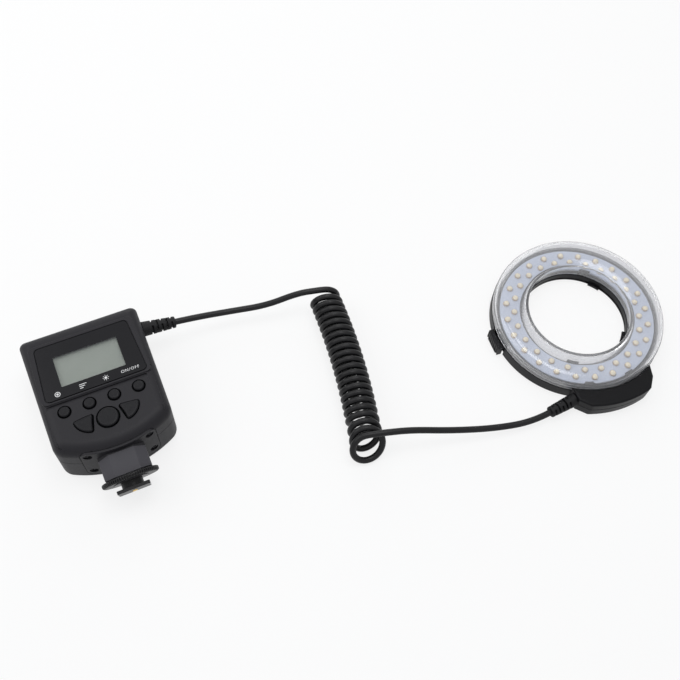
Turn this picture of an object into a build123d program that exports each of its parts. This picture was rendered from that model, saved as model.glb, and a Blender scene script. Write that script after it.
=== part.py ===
from build123d import *
from math import acos, atan2, ceil, cos, degrees, pi, radians, sin, sqrt, tan
import os

# Macro ring flash: a lamp ring that clips round a lens, and a control box for the
# camera's accessory shoe, joined by a curly cord. Both lie face up on one surface.
# The origin is the middle of the lens bore at the ring's rear face. +Z is the way
# the lamps shine, -Y points to the ring's junction box, and the control box lies
# at -X. All sizes are in millimetres.

# Running and seat clearances, and a cut deeper than any wall
slip = 0.15
seat = 0.10
through = 20.0

# Ring head: rear housing
head_radius = 54.0
ring_width = 21.0
bore_radius = head_radius - ring_width
mouth_step = 0.4
claw_room_step = 0.8
head_wall = 1.6
base_height = 8.5
bore_height = 6.5
floor_thickness = 1.4
rear_plate_thickness = 1.0
rib_wall = 1.2
rear_edge_chamfer = 0.6

# Ring head: release latch
latch_thickness = 1.4
latch_width = 6.0
latch_travel = 2.4
claw_angle = 39.0
claw_spread = 14.0
claw_window_margin = 9.0
claw_reach = 1.7
pad_width = 14.6
pad_reach = 3.8
pad_depth = 3.0
pad_foot = 1.0
pad_gap_depth = 1.2
pad_rib_count = 7
pad_rib_width = 1.0
pad_rib_spread = 12.0
guide_pin_radius = 1.0
spring_wire = 0.5
spring_half_span = 14.0
spring_bow = 2.6
spring_post_radius = 1.5

# Ring head: lamps and cover
board_thickness = 1.6
board_level = 8.0
lamps_per_row = 24
outer_lamp_radius = head_radius - 9.0
inner_lamp_radius = outer_lamp_radius - 5.0
outer_lamp_start = 2.5
inner_lamp_start = 10.3
lamp_radius = 2.3
lamp_height = 2.8
lamp_chamfer = 1.0
cover_height = 19.2
cover_wall = 1.8
cover_edge_radius = 4.6
cover_inset = 0.1
cover_bore_step = 0.4
cover_bore_chamfer = 0.6
cover_lip_rise = 1.5
cover_lip_depth = 2.5
cover_lip_wall = 1.2
inner_clip_angles = (55.0, 239.0)
outer_clip_angles = (284.5, 252.3)
clip_thickness = 0.9
clip_width = 7.0
clip_top = 11.4
inner_clip_gap = 0.6
outer_clip_gap = 2.2
inner_rib_step = 1.2
outer_rib_step = 1.6

# Ring head: screws of the rear plate
ring_screw_circle = head_radius - 5.6
ring_screw_angles = (35.0, 138.0, 222.0, 325.0)
ring_screw_radius = 1.0
ring_screw_head_radius = 2.0
ring_screw_head_height = 0.7
ring_screw_length = 3.4
ring_boss_radius = 2.3

# Junction box on the ring
junction_height = 12.0
junction_split = 6.0
junction_radius = head_radius + 11.0
junction_half_width = 26.6
junction_shoulder = head_radius + 1.6
junction_corner = 6.1
junction_inner_edge = head_radius - 10.0
junction_wall = 1.8
junction_edge_radius = 1.2
lid_screw_x = 13.0
lid_screw_y = -head_radius - 5.0
lid_screw_length = 8.0
wire_gap = 8.0

# Boot on the ring's junction box
ring_boot_y = -head_radius + 1.8
ring_boot_turn = 10.5
ring_boot_length = 18.0
ring_boot_root_radius = 4.2
ring_boot_end_radius = 3.4
ring_boot_slots = 5
boot_neck_step = 1.1
boot_collar_step = 0.6
boot_collar_depth = 1.0
boot_root_overlap = 1.0
boot_slot_share = 0.42
boot_core_wall = 0.6
boot_bridge = 2.4

# Control box: place of its own origin, which is the middle of the display
box_x = -295.9
box_y = 44.2
box_turn = 4.94

# Control box: shells
box_depth = 36.0
box_split = 21.0
box_top = 29.3
box_half_top = 35.0
box_corner_x = 33.6
box_corner_y = -45.3
box_bottom = -55.3
box_corner_radius = 8.0
box_top_corner_radius = 3.0
box_wall = 2.0
box_top_round = 7.5
box_back_round = 4.0
shoulder_depth = 1.6
plateau_half_top = 34.2
plateau_corner_x = 29.9
plateau_corner_y = -45.0
plateau_bottom = -53.8
plateau_corner_radius = 5.0

# Control box: display
bezel_rise = 0.5
bezel_half_top = 30.6
bezel_half_bottom = 31.6
bezel_top = 20.8
bezel_bottom = -18.4
bezel_corner = 3.4
window_half_top = 27.2
window_half_bottom = 29.2
window_top = 18.9
window_bottom = -17.0
window_corner = 2.6
window_thickness = 0.9
display_width = 37.0
display_height = 20.0
display_rim = 1.5
lcd_width = 43.0
lcd_height = 26.0
lcd_face_rise = 0.6
groove_y = -19.7
groove_width = 1.5
groove_depth = 1.0
groove_left = -30.0
groove_right = 27.5
reset_hole = (31.4, -15.5)
reset_hole_radius = 0.5

# Control box: buttons
key_travel = 0.8
key_rise = 1.1
key_gap = 0.35
key_flange = 1.0
key_flange_thickness = 0.8
key_stem_radius = 1.3
key_dome = 0.7
small_key_radius = 3.45
small_key_pitch = 14.1
small_key_y = -25.2
set_key_radius = 6.2
cluster_y = -37.2
arrow_x = 12.6
arrow_corner = 1.1
arrow_inner_top = (7.2, 5.0)
arrow_outer_top = (18.4, 3.8)
arrow_outer_low = (15.6, -2.6)
arrow_inner_low = (9.8, -5.4)

# Control box: electronics
pcb_thickness = 1.6
pcb_level = box_depth - 12.0
pcb_half_width = 23.0
pcb_top = 21.0
pcb_bottom = -44.0
switch_size = 6.0
switch_body_height = 3.5
switch_plunger_radius = 1.7
switch_plunger_top = box_depth - 4.6
pcb_post_radius = 1.9
pcb_screw_length = 5.0

# Control box: battery bay and its door
cell_count = 4
cell_radius = 7.15
cell_length = 49.2
cell_nub_radius = 2.6
cell_nub_length = 1.2
cell_pitch = 14.7
bay_end_gap = 1.2
bay_wall = 1.5
door_thickness = 1.8
door_half_width = 28.0
door_lower_end = -28.5
door_travel = 9.0
door_tongue = 1.0
door_tongue_thickness = 0.8
door_inset = 0.3
door_rib_count = 5
door_rib_length = 22.0
door_rib_width = 1.2
door_rib_pitch = 2.6
door_rib_depth = 0.6
door_tongue_end = box_top - door_travel - 2.3
contact_thickness = 0.4
contact_plate = 10.0
contact_corner = 1.5
contact_cone_radius = 3.6
contact_dome_radius = 2.4

# Control box: shoe mount with its leaning column
mount_half_width = 21.4
mount_low = 5.0
mount_high = 32.6
mount_corner = 4.0
mount_inner_face = -49.3
mount_screw_x = 17.5
mount_screw_low = 10.0
mount_screw_high = 28.6
mount_screw_radius = 1.2
mount_screw_head_radius = 2.2
mount_screw_sink = 1.2
mount_screw_head_height = 1.2
mount_screw_length = 6.5
mount_screw_hole = 5.5
mount_block_width = 8.0
mount_block_depth = 5.0
column_lean = 18.0
column_y = -53.5
column_z = 20.6
column_length = 12.4
column_half_width = 13.3
column_flat_half_width = 7.3
column_half_depth = 8.5
column_side_half_depth = 4.6

# Shoe foot, lock wheel and clamping washer, measured along the leaning axis
stem_radius = 6.2
stem_start = 4.0
wheel_gap = 0.6
wheel_thickness = 2.9
wheel_radius = 16.2
wheel_chamfer = 0.7
wheel_notch_count = 48
wheel_notch_depth = 0.7
wheel_notch_step = 0.15
washer_radius = 10.0
washer_thickness = 1.0
washer_recess = 0.75
clamp_travel = 1.8
shoe_rail = 1.8
foot_gap = shoe_rail + clamp_travel
foot_width = 18.6
foot_depth = 18.0
foot_thickness = 2.0
foot_corner = 1.5
contact_radius = 1.5
contact_travel = 0.6
contact_flange = 0.6
ground_strip_thickness = 0.3
ground_strip_margin = 2.0

# Control box: case screws
case_screw_x = 27.0
case_screw_y = -39.5
case_screw_radius = 1.3
case_screw_head_radius = 2.4
case_screw_head_height = 1.8
case_screw_sink = 3.0
case_boss_radius = 3.3
case_boss_top = box_depth - 6.0

# Strain relief on the control box
relief_y = 18.2
relief_turn = -2.9
relief_droop = 9.0
relief_length = 20.0
relief_root_radius = 4.6
relief_end_radius = 3.5
relief_slots = 6

# Cord
cord_diameter = 3.9
coil_radius = 8.25
coil_turns = 22
coil_start = (-149.3, 61.0)
coil_end = (-157.2, -40.4)
coil_first_step = 0.9
coil_bow = 3.0
coil_floor_gap = 0.1
coil_end_lean = 5.6
coil_lean_turns = 4
coil_end_spread = 1.1
coil_sides = 6

os.makedirs("parts", exist_ok=True)


def save(part, name):
    """Labels a finished piece and writes it under its node name."""
    part.label = name
    export_step(part, f"parts/{name}.step")


def on_circle(radius, angle):
    """The point at this radius and angle (degrees) about the bore's axis."""
    return (radius * cos(radians(angle)), radius * sin(radians(angle)))


# Levels in the ring head
latch_level = rear_plate_thickness + slip
latch_top = latch_level + latch_thickness
floor_level = latch_top + slip
channel_level = floor_level + floor_thickness
channel_inner = bore_radius + head_wall
channel_outer = head_radius - head_wall
cover_outer = head_radius - cover_inset
inner_clip_radius = channel_inner + inner_clip_gap
outer_clip_radius = channel_outer - outer_clip_gap
mouth_radius = bore_radius + mouth_step
board_top = board_level + board_thickness
pad_top = base_height - 2 * slip

# Latch ring: its bore clears the housing's inner wall over the whole travel
latch_inner = channel_inner + latch_travel + slip
latch_outer = latch_inner + latch_width
claw_tip = bore_radius - claw_reach
pad_outer = head_radius + pad_reach
pad_inner = pad_outer - pad_depth
guide_circle = (latch_inner + latch_outer) / 2


def ring_sector(inner, outer, middle_angle, spread):
    """A sector of a flat ring, centred on an angle (degrees)."""
    start = middle_angle - spread / 2
    with BuildSketch(Plane.XY) as sector:
        with BuildLine():
            Polyline(on_circle(outer, start), on_circle(inner, start))
            CenterArc((0, 0), inner, start, spread)
            Polyline(on_circle(inner, start + spread), on_circle(outer, start + spread))
            CenterArc((0, 0), outer, start, spread)
        make_face()
    return sector.sketch_local


def junction_outline():
    """The junction box's outline: straight sides, bevelled corners, an arc outside."""
    arc_x = junction_half_width - junction_corner
    arc_y = -sqrt(junction_radius**2 - arc_x**2)
    with BuildSketch(Plane.XY) as outline:
        with BuildLine():
            Polyline(
                (arc_x, arc_y),
                (junction_half_width, -junction_shoulder),
                (junction_half_width, -junction_inner_edge),
                (-junction_half_width, -junction_inner_edge),
                (-junction_half_width, -junction_shoulder),
                (-arc_x, arc_y),
            )
            ThreePointArc((-arc_x, arc_y), (0, -junction_radius), (arc_x, arc_y))
        make_face()
    return outline.sketch_local


# The junction box's side wall, and the axis of the boot that leaves it
junction_side = Plane(
    origin=(-junction_half_width, ring_boot_y, junction_split), x_dir=(0, 1, 0), z_dir=(-1, 0, 0)
)
boot_axis = Plane(
    origin=junction_side.origin,
    x_dir=(0, 0, 1),
    z_dir=(-cos(radians(ring_boot_turn)), -sin(radians(ring_boot_turn)), 0),
)


def boot_room(axis_plane, wall_plane, wall, root_radius):
    """What a boot takes from the housing: a hole for its neck and a seat for its collar."""
    hole_radius = root_radius - boot_neck_step + seat
    depth = wall + boot_collar_depth + seat
    with BuildPart() as room:
        with BuildSketch(axis_plane.offset(-depth)):
            Circle(hole_radius + boot_collar_step)
        extrude(amount=depth + root_radius)
        with BuildSketch(wall_plane.offset(-wall)):
            Rectangle(8 * root_radius, 8 * root_radius)
        extrude(amount=wall + 2 * root_radius, mode=Mode.SUBTRACT)
        with BuildSketch(axis_plane.offset(-depth)):
            Circle(hole_radius)
        extrude(amount=depth + root_radius / 2)
    return room.part


lid_screw_places = [(-lid_screw_x, lid_screw_y), (lid_screw_x, lid_screw_y)]
lid_boss_radius = 2.4
screw_clear = 0.15
ring_screw_places = [on_circle(ring_screw_circle, angle) for angle in ring_screw_angles]

# Rear housing: an annular tray with the junction box's lower half
with BuildPart() as rear_housing:
    with BuildSketch():
        Circle(head_radius)
    extrude(amount=base_height)
    chamfer(rear_housing.edges().filter_by(GeomType.CIRCLE).sort_by(Axis.Z)[0], rear_edge_chamfer)
    with BuildSketch():
        add(junction_outline())
        Circle(channel_outer, mode=Mode.SUBTRACT)
    extrude(amount=junction_split)
    # The lens bore, wider below the floor, and the channels above and below the floor
    with BuildSketch():
        Circle(bore_radius)
    extrude(amount=base_height, mode=Mode.SUBTRACT)
    with BuildSketch():
        Circle(bore_radius + claw_room_step)
    extrude(amount=floor_level, mode=Mode.SUBTRACT)
    with BuildSketch(Plane.XY.offset(channel_level)):
        Circle(channel_outer)
        Circle(channel_inner, mode=Mode.SUBTRACT)
    extrude(amount=base_height, mode=Mode.SUBTRACT)
    with BuildSketch(Plane.XY.offset(bore_height)):
        Circle(channel_outer)
    extrude(amount=base_height, mode=Mode.SUBTRACT)
    with BuildSketch():
        Circle(channel_outer)
        Circle(channel_inner, mode=Mode.SUBTRACT)
    extrude(amount=floor_level, mode=Mode.SUBTRACT)
    with BuildSketch():
        Circle(channel_outer)
    extrude(amount=rear_plate_thickness, mode=Mode.SUBTRACT)
    # Windows in the bore's wall for the two claws
    with BuildSketch():
        for side in (-1, 1):
            add(ring_sector(
                bore_radius, channel_inner + slip, side * claw_angle,
                claw_spread + claw_window_margin,
            ))
    extrude(amount=floor_level, mode=Mode.SUBTRACT)
    # Two low ribs carry the lamp board
    with BuildSketch(Plane.XY.offset(channel_level)):
        for radius in (inner_lamp_radius - inner_rib_step, outer_lamp_radius + outer_rib_step):
            Circle(radius + rib_wall)
            Circle(radius, mode=Mode.SUBTRACT)
    extrude(amount=board_level - channel_level)
    # Below the floor: screw bosses, guide pins of the latch, posts of its spring
    with BuildSketch(Plane.XY.offset(rear_plate_thickness)):
        with Locations(*ring_screw_places):
            Circle(ring_boss_radius)
        with Locations((0, guide_circle), (0, -guide_circle)):
            Circle(guide_pin_radius)
        with Locations(
            (latch_outer + spring_bow + spring_post_radius + slip + spring_wire, spring_half_span - 1),
            (latch_outer + spring_bow + spring_post_radius + slip + spring_wire, 1 - spring_half_span),
        ):
            Circle(spring_post_radius)
    extrude(amount=floor_level - rear_plate_thickness)
    with BuildSketch(Plane.XY.offset(rear_plate_thickness)):
        with Locations(*ring_screw_places):
            Circle(ring_screw_radius)
    extrude(amount=ring_screw_length - rear_plate_thickness + slip, mode=Mode.SUBTRACT)
    # The gap in the outer wall for the release button
    with BuildSketch():
        with Locations((-head_radius, 0)):
            Rectangle(2 * (head_wall + pad_gap_depth), pad_width + 4 * slip)
    extrude(amount=base_height, mode=Mode.SUBTRACT)
    # Snap tabs of the clear cover
    with BuildSketch(Plane.XY.offset(floor_level)):
        for angle in inner_clip_angles:
            add(ring_sector(
                inner_clip_radius, inner_clip_radius + clip_thickness, angle,
                degrees(clip_width / channel_inner),
            ))
        for angle in outer_clip_angles:
            add(ring_sector(
                outer_clip_radius - clip_thickness, outer_clip_radius, angle,
                degrees(clip_width / channel_outer),
            ))
    extrude(amount=clip_top - floor_level)
    # Junction box: hollow, a wire passage, bosses for the lid's screws, the boot's seat
    with BuildSketch(Plane.XY.offset(junction_wall)):
        add(junction_outline())
        offset(amount=-junction_wall)
        Circle(head_radius + junction_wall, mode=Mode.SUBTRACT)
    extrude(amount=junction_split, mode=Mode.SUBTRACT)
    with BuildSketch(Plane.XY.offset(channel_level)):
        with Locations((0, -head_radius)):
            Rectangle(wire_gap, 6 * junction_wall)
    extrude(amount=base_height - channel_level, mode=Mode.SUBTRACT)
    with BuildSketch():
        with Locations(*lid_screw_places):
            Circle(lid_boss_radius)
    extrude(amount=junction_split)
    with BuildSketch():
        with Locations(*lid_screw_places):
            Circle(ring_screw_radius + screw_clear)
    extrude(amount=junction_split, mode=Mode.SUBTRACT)
    with BuildSketch():
        with Locations(*lid_screw_places):
            Circle(ring_screw_head_radius + screw_clear)
    extrude(amount=ring_screw_head_height + 3 * screw_clear, mode=Mode.SUBTRACT)
    add(
        boot_room(boot_axis, junction_side, junction_wall, ring_boot_root_radius),
        mode=Mode.SUBTRACT,
    )
save(rear_housing.part, "ring_rear_housing")

# Rear plate: closes the latch's channel from behind
with BuildPart() as rear_plate:
    with BuildSketch():
        Circle(channel_outer - seat)
        Circle(mouth_radius, mode=Mode.SUBTRACT)
        with Locations(*ring_screw_places):
            Circle(ring_screw_radius + screw_clear, mode=Mode.SUBTRACT)
    extrude(amount=rear_plate_thickness)
    with BuildSketch():
        with Locations(*ring_screw_places):
            Circle(ring_screw_head_radius + screw_clear)
    extrude(amount=ring_screw_head_height, mode=Mode.SUBTRACT)
save(rear_plate.part, "ring_rear_plate")

# Screws of the rear plate
with BuildPart() as ring_screws:
    with BuildSketch():
        with Locations(*ring_screw_places):
            Circle(ring_screw_head_radius)
    extrude(amount=ring_screw_head_height)
    with BuildSketch(Plane.XY.offset(ring_screw_head_height)):
        with Locations(*ring_screw_places):
            Circle(ring_screw_radius)
    extrude(amount=ring_screw_length - ring_screw_head_height)
save(ring_screws.part, "ring_screws")

# Latch: a flat ring with two claws at one side and the release button at the other
with BuildPart() as latch:
    with BuildSketch(Plane.XY.offset(latch_level)):
        Circle(latch_outer)
        Circle(latch_inner, mode=Mode.SUBTRACT)
        for side in (-1, 1):
            add(ring_sector(claw_tip, latch_inner + 1, side * claw_angle, claw_spread))
        with Locations((-(latch_inner + pad_outer) / 2 - 1, 0)):
            Rectangle(pad_outer - latch_inner - 2, pad_width - 4)
        slot_length = 2 * guide_pin_radius + latch_travel + 4 * slip
        with Locations(
            (-latch_travel / 2, guide_circle), (-latch_travel / 2, -guide_circle)
        ):
            SlotOverall(slot_length, 2 * guide_pin_radius + 2 * slip, mode=Mode.SUBTRACT)
    extrude(amount=latch_thickness)
    with BuildSketch(Plane.XY.offset(pad_foot)):
        with Locations((-pad_outer, 0)):
            Rectangle(2 * pad_outer, pad_width)
        Circle(pad_outer, mode=Mode.INTERSECT)
        Circle(pad_inner, mode=Mode.SUBTRACT)
        with PolarLocations(
            pad_outer, pad_rib_count, 180 - pad_rib_spread / 2, pad_rib_spread, endpoint=True
        ):
            Circle(pad_rib_width / 2, mode=Mode.SUBTRACT)
    extrude(amount=pad_top - pad_foot)
save(latch.part, "release_latch")

# Latch spring: a bowed strip between two posts and the latch's far side
with BuildPart() as latch_spring:
    with BuildSketch(Plane.XY.offset(latch_level)):
        with BuildLine() as bow:
            ThreePointArc(
                (latch_outer + slip + spring_wire / 2 + spring_bow, -spring_half_span),
                (latch_outer + slip + spring_wire / 2, 0),
                (latch_outer + slip + spring_wire / 2 + spring_bow, spring_half_span),
            )
        trace(line_width=spring_wire)
    extrude(amount=latch_thickness)
save(latch_spring.part, "latch_spring")

# Lamp board
board_inner = inner_clip_radius + clip_thickness + 2 * slip
board_outer = outer_clip_radius - clip_thickness - 2 * slip
with BuildPart() as lamp_board:
    with BuildSketch(Plane.XY.offset(board_level)):
        Circle(board_outer)
        Circle(board_inner, mode=Mode.SUBTRACT)
    extrude(amount=board_thickness)
save(lamp_board.part, "lamp_board")


def lamp_row(radius, start, name):
    """One ring of identical lamps standing on the board."""
    with BuildPart() as row:
        with BuildSketch(Plane.XY.offset(board_top)):
            with PolarLocations(radius, lamps_per_row, start):
                Circle(lamp_radius)
        extrude(amount=lamp_height)
        chamfer(row.faces().filter_by(Axis.Z).group_by(Axis.Z)[-1].edges(), lamp_chamfer)
    save(row.part, name)


lamp_row(outer_lamp_radius, outer_lamp_start, "outer_lamps")
lamp_row(inner_lamp_radius, inner_lamp_start, "inner_lamps")

# Clear cover: an annular channel turned from one profile, with a lip inside the housing
with BuildPart() as cover:
    with BuildSketch(Plane.XZ):
        with BuildLine():
            inner_face = bore_radius + cover_bore_step
            inner_back = channel_inner + cover_bore_step
            flat_top = cover_outer - cover_edge_radius
            inside_top = cover_height - cover_wall
            inside_outer = cover_outer - cover_wall
            inside_edge = cover_edge_radius - cover_wall
            lip_outer = channel_outer - seat
            lip_inner = lip_outer - cover_lip_wall
            Polyline(
                (inner_face + cover_bore_chamfer, cover_height),
                (inner_face, cover_height - cover_bore_chamfer),
                (inner_face, bore_height),
                (inner_back, bore_height),
                (inner_back, inside_top),
                (flat_top, inside_top),
            )
            RadiusArc(
                (flat_top, inside_top), (inside_outer, inside_top - inside_edge), inside_edge
            )
            Polyline(
                (inside_outer, inside_top - inside_edge),
                (inside_outer, base_height + cover_lip_rise),
                (lip_inner, base_height + cover_lip_rise),
                (lip_inner, base_height - cover_lip_depth),
                (lip_outer, base_height - cover_lip_depth),
                (lip_outer, base_height),
                (cover_outer, base_height),
                (cover_outer, cover_height - cover_edge_radius),
            )
            RadiusArc(
                (cover_outer, cover_height - cover_edge_radius), (flat_top, cover_height),
                -cover_edge_radius,
            )
            Line((flat_top, cover_height), (inner_face + cover_bore_chamfer, cover_height))
        make_face()
    revolve(axis=Axis.Z)
save(cover.part, "clear_cover")

# Junction box: upper half
with BuildPart() as junction_lid:
    with BuildSketch(Plane.XY.offset(junction_split)):
        add(junction_outline())
    extrude(amount=junction_height - junction_split)
    fillet(
        junction_lid.faces().sort_by(Axis.Z)[-1].edges().sort_by(Axis.Y)[:-1],
        junction_edge_radius,
    )
    with BuildSketch(Plane.XY.offset(junction_split)):
        Circle(head_radius + seat)
    extrude(amount=junction_height, mode=Mode.SUBTRACT)
    with BuildSketch(Plane.XY.offset(junction_split)):
        add(junction_outline())
        offset(amount=-junction_wall)
        Circle(head_radius + junction_wall, mode=Mode.SUBTRACT)
    extrude(amount=junction_height - junction_split - junction_wall, mode=Mode.SUBTRACT)
    with BuildSketch(Plane.XY.offset(junction_split)):
        with Locations(*lid_screw_places):
            Circle(lid_boss_radius)
    extrude(amount=junction_height - junction_split - junction_wall)
    with BuildSketch(Plane.XY.offset(junction_split)):
        with Locations(*lid_screw_places):
            Circle(ring_screw_radius)
    extrude(amount=lid_screw_length - junction_split + 1, mode=Mode.SUBTRACT)
    add(
        boot_room(boot_axis, junction_side, junction_wall, ring_boot_root_radius),
        mode=Mode.SUBTRACT,
    )
save(junction_lid.part, "junction_lid")

# Screws of the junction box's lid
with BuildPart() as lid_screws:
    with BuildSketch(Plane.XY.offset(screw_clear)):
        with Locations(*lid_screw_places):
            Circle(ring_screw_head_radius)
    extrude(amount=ring_screw_head_height)
    with BuildSketch(Plane.XY.offset(screw_clear)):
        with Locations(*lid_screw_places):
            Circle(ring_screw_radius)
    extrude(amount=lid_screw_length)
save(lid_screws.part, "lid_screws")


def slotted_boot(name, axis_plane, wall_plane, wall, length, root_radius, end_radius, slots):
    """A tapered boot with rows of half-round slots, and a collar inside the wall it leaves."""
    neck_radius = root_radius - boot_neck_step
    pitch = length / (slots + 0.5)
    slot_width = boot_slot_share * pitch
    taper_angle = degrees(atan2(root_radius - end_radius, length))
    with BuildPart() as boot:
        with BuildSketch(axis_plane.offset(-wall - boot_collar_depth)):
            Circle(neck_radius + boot_collar_step)
        extrude(amount=wall + boot_collar_depth)
        with BuildSketch(axis_plane.offset(-boot_root_overlap)):
            Circle(root_radius)
        extrude(amount=length + boot_root_overlap, taper=taper_angle)
        # The housing's wall takes the room between the collar and the tapered part
        with BuildSketch(wall_plane.offset(-wall - seat)):
            Rectangle(8 * root_radius, 8 * root_radius)
        extrude(amount=wall + 2 * seat, mode=Mode.SUBTRACT)
        with BuildSketch(axis_plane.offset(-wall - boot_collar_depth)):
            Circle(neck_radius)
        extrude(amount=wall + boot_collar_depth + boot_root_overlap)
        for slot in range(slots):
            middle = (slot + 0.7) * pitch
            with BuildSketch(axis_plane.offset(middle - slot_width / 2)):
                Circle(2 * root_radius)
                Circle(cord_diameter / 2 + boot_core_wall, mode=Mode.SUBTRACT)
                if slot % 2:
                    Rectangle(boot_bridge, 5 * root_radius, mode=Mode.SUBTRACT)
                else:
                    Rectangle(5 * root_radius, boot_bridge, mode=Mode.SUBTRACT)
            extrude(amount=slot_width, mode=Mode.SUBTRACT)
    save(boot.part, name)


slotted_boot(
    "ring_boot", boot_axis, junction_side, junction_wall, ring_boot_length,
    ring_boot_root_radius, ring_boot_end_radius, ring_boot_slots,
)

# Control box frame: x across, y up the face, z away from the surface it lies on
box = Plane(
    origin=(box_x, box_y, 0),
    x_dir=(cos(radians(box_turn)), sin(radians(box_turn)), 0),
    z_dir=(0, 0, 1),
)


def box_outline(margin=0.0):
    """The control box's outline: tapered sides, an arc at the bottom, round corners."""
    with BuildSketch(Plane.XY) as outline:
        with BuildLine():
            Polyline(
                (box_corner_x, box_corner_y),
                (box_half_top, box_top),
                (-box_half_top, box_top),
                (-box_corner_x, box_corner_y),
            )
            ThreePointArc(
                (-box_corner_x, box_corner_y), (0, box_bottom), (box_corner_x, box_corner_y)
            )
        make_face()
        fillet(outline.vertices().group_by(Axis.Y)[-1], box_top_corner_radius)
        fillet(outline.vertices().group_by(Axis.Y)[0], box_corner_radius)
        if margin:
            offset(amount=-margin)
    return outline.sketch_local


def plateau_outline():
    """The raised face's outline, narrower than the box towards the bottom."""
    with BuildSketch(Plane.XY) as outline:
        with BuildLine():
            Polyline(
                (plateau_corner_x, plateau_corner_y),
                (plateau_half_top, box_top + 2),
                (-plateau_half_top, box_top + 2),
                (-plateau_corner_x, plateau_corner_y),
            )
            ThreePointArc(
                (-plateau_corner_x, plateau_corner_y), (0, plateau_bottom),
                (plateau_corner_x, plateau_corner_y),
            )
        make_face()
        fillet(outline.vertices().group_by(Axis.Y)[0], plateau_corner_radius)
    return outline.sketch_local


def trapezoid(half_top, half_bottom, top, bottom, corner):
    """A four-sided outline with round corners, as wide as given at its two ends."""
    with BuildSketch(Plane.XY) as outline:
        with BuildLine():
            Polyline(
                (half_bottom, bottom), (half_top, top), (-half_top, top), (-half_bottom, bottom),
                close=True,
            )
        make_face()
        fillet(outline.vertices(), corner)
    return outline.sketch_local


def arrow_outline(side, margin=0.0):
    """The outline of one arrow button, with its flat side to the round button."""
    with BuildSketch(Plane.XY) as outline:
        with BuildLine():
            inner_top, outer_top, outer_low, inner_low = [
                (side * x, y)
                for x, y in (arrow_inner_top, arrow_outer_top, arrow_outer_low, arrow_inner_low)
            ]
            Line(inner_top, outer_top)
            ThreePointArc(outer_top, outer_low, inner_low)
            Line(inner_low, inner_top)
        make_face()
        fillet(outline.vertices(), arrow_corner)
        if margin:
            offset(amount=margin)
    return outline.sketch_local.moved(Location((0, cluster_y)))


small_key_places = [
    ((k - 1.5) * small_key_pitch, small_key_y) for k in range(4)
]
small_key_names = ["pilot_button", "mode_button", "light_button", "power_button"]
switch_places = small_key_places + [
    (0, cluster_y), (-arrow_x, cluster_y), (arrow_x, cluster_y)
]
pcb_post_places = [(-20.3, 17.6), (20.3, 17.6), (-20.8, -40.8), (20.8, -40.8)]
case_screw_places = [(-case_screw_x, case_screw_y), (case_screw_x, case_screw_y)]
face_under = box_depth - box_wall
shoulder_level = box_depth - shoulder_depth
bezel_level = box_depth + bezel_rise
mount_screw_places = [
    (side * mount_screw_x, height)
    for height in (mount_screw_low, mount_screw_high)
    for side in (-1, 1)
]

mount_block_places = [
    (side * mount_screw_x, mount_inner_face + mount_block_depth / 2) for side in (-1, 1)
]

# Plane of the box's bottom wall: x across, y up from the surface, z outwards
wall_plane = Plane(
    origin=box.from_local_coords(Vector(0, box_bottom, 0)),
    x_dir=box.x_dir,
    z_dir=-box.y_dir,
)


def mount_outline(margin=0.0):
    """The shoe mount's plate outline, seen from the bottom end."""
    height = mount_high - mount_low + 2 * margin
    with BuildSketch(Plane.XY) as outline:
        with Locations((0, (mount_low + mount_high) / 2)):
            RectangleRounded(2 * (mount_half_width + margin), height, mount_corner + margin)
    return outline.sketch_local


# The right side wall leans in towards the bottom end
side_lean = (box_half_top - box_corner_x) / (box_top - box_corner_y)
relief_x = box_half_top - side_lean * (box_top - relief_y)
box_side = Plane(
    origin=box.from_local_coords(Vector(relief_x, relief_y, box_split)),
    x_dir=box.y_dir + box.x_dir * side_lean,
    z_dir=box.x_dir - box.y_dir * side_lean,
)
relief_axis = Plane(
    origin=box_side.origin,
    x_dir=box.y_dir - box.x_dir * tan(radians(relief_turn)),
    z_dir=(box.x_dir * cos(radians(relief_turn)) + box.y_dir * sin(radians(relief_turn)))
    * cos(radians(relief_droop))
    - box.z_dir * sin(radians(relief_droop)),
)

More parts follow.
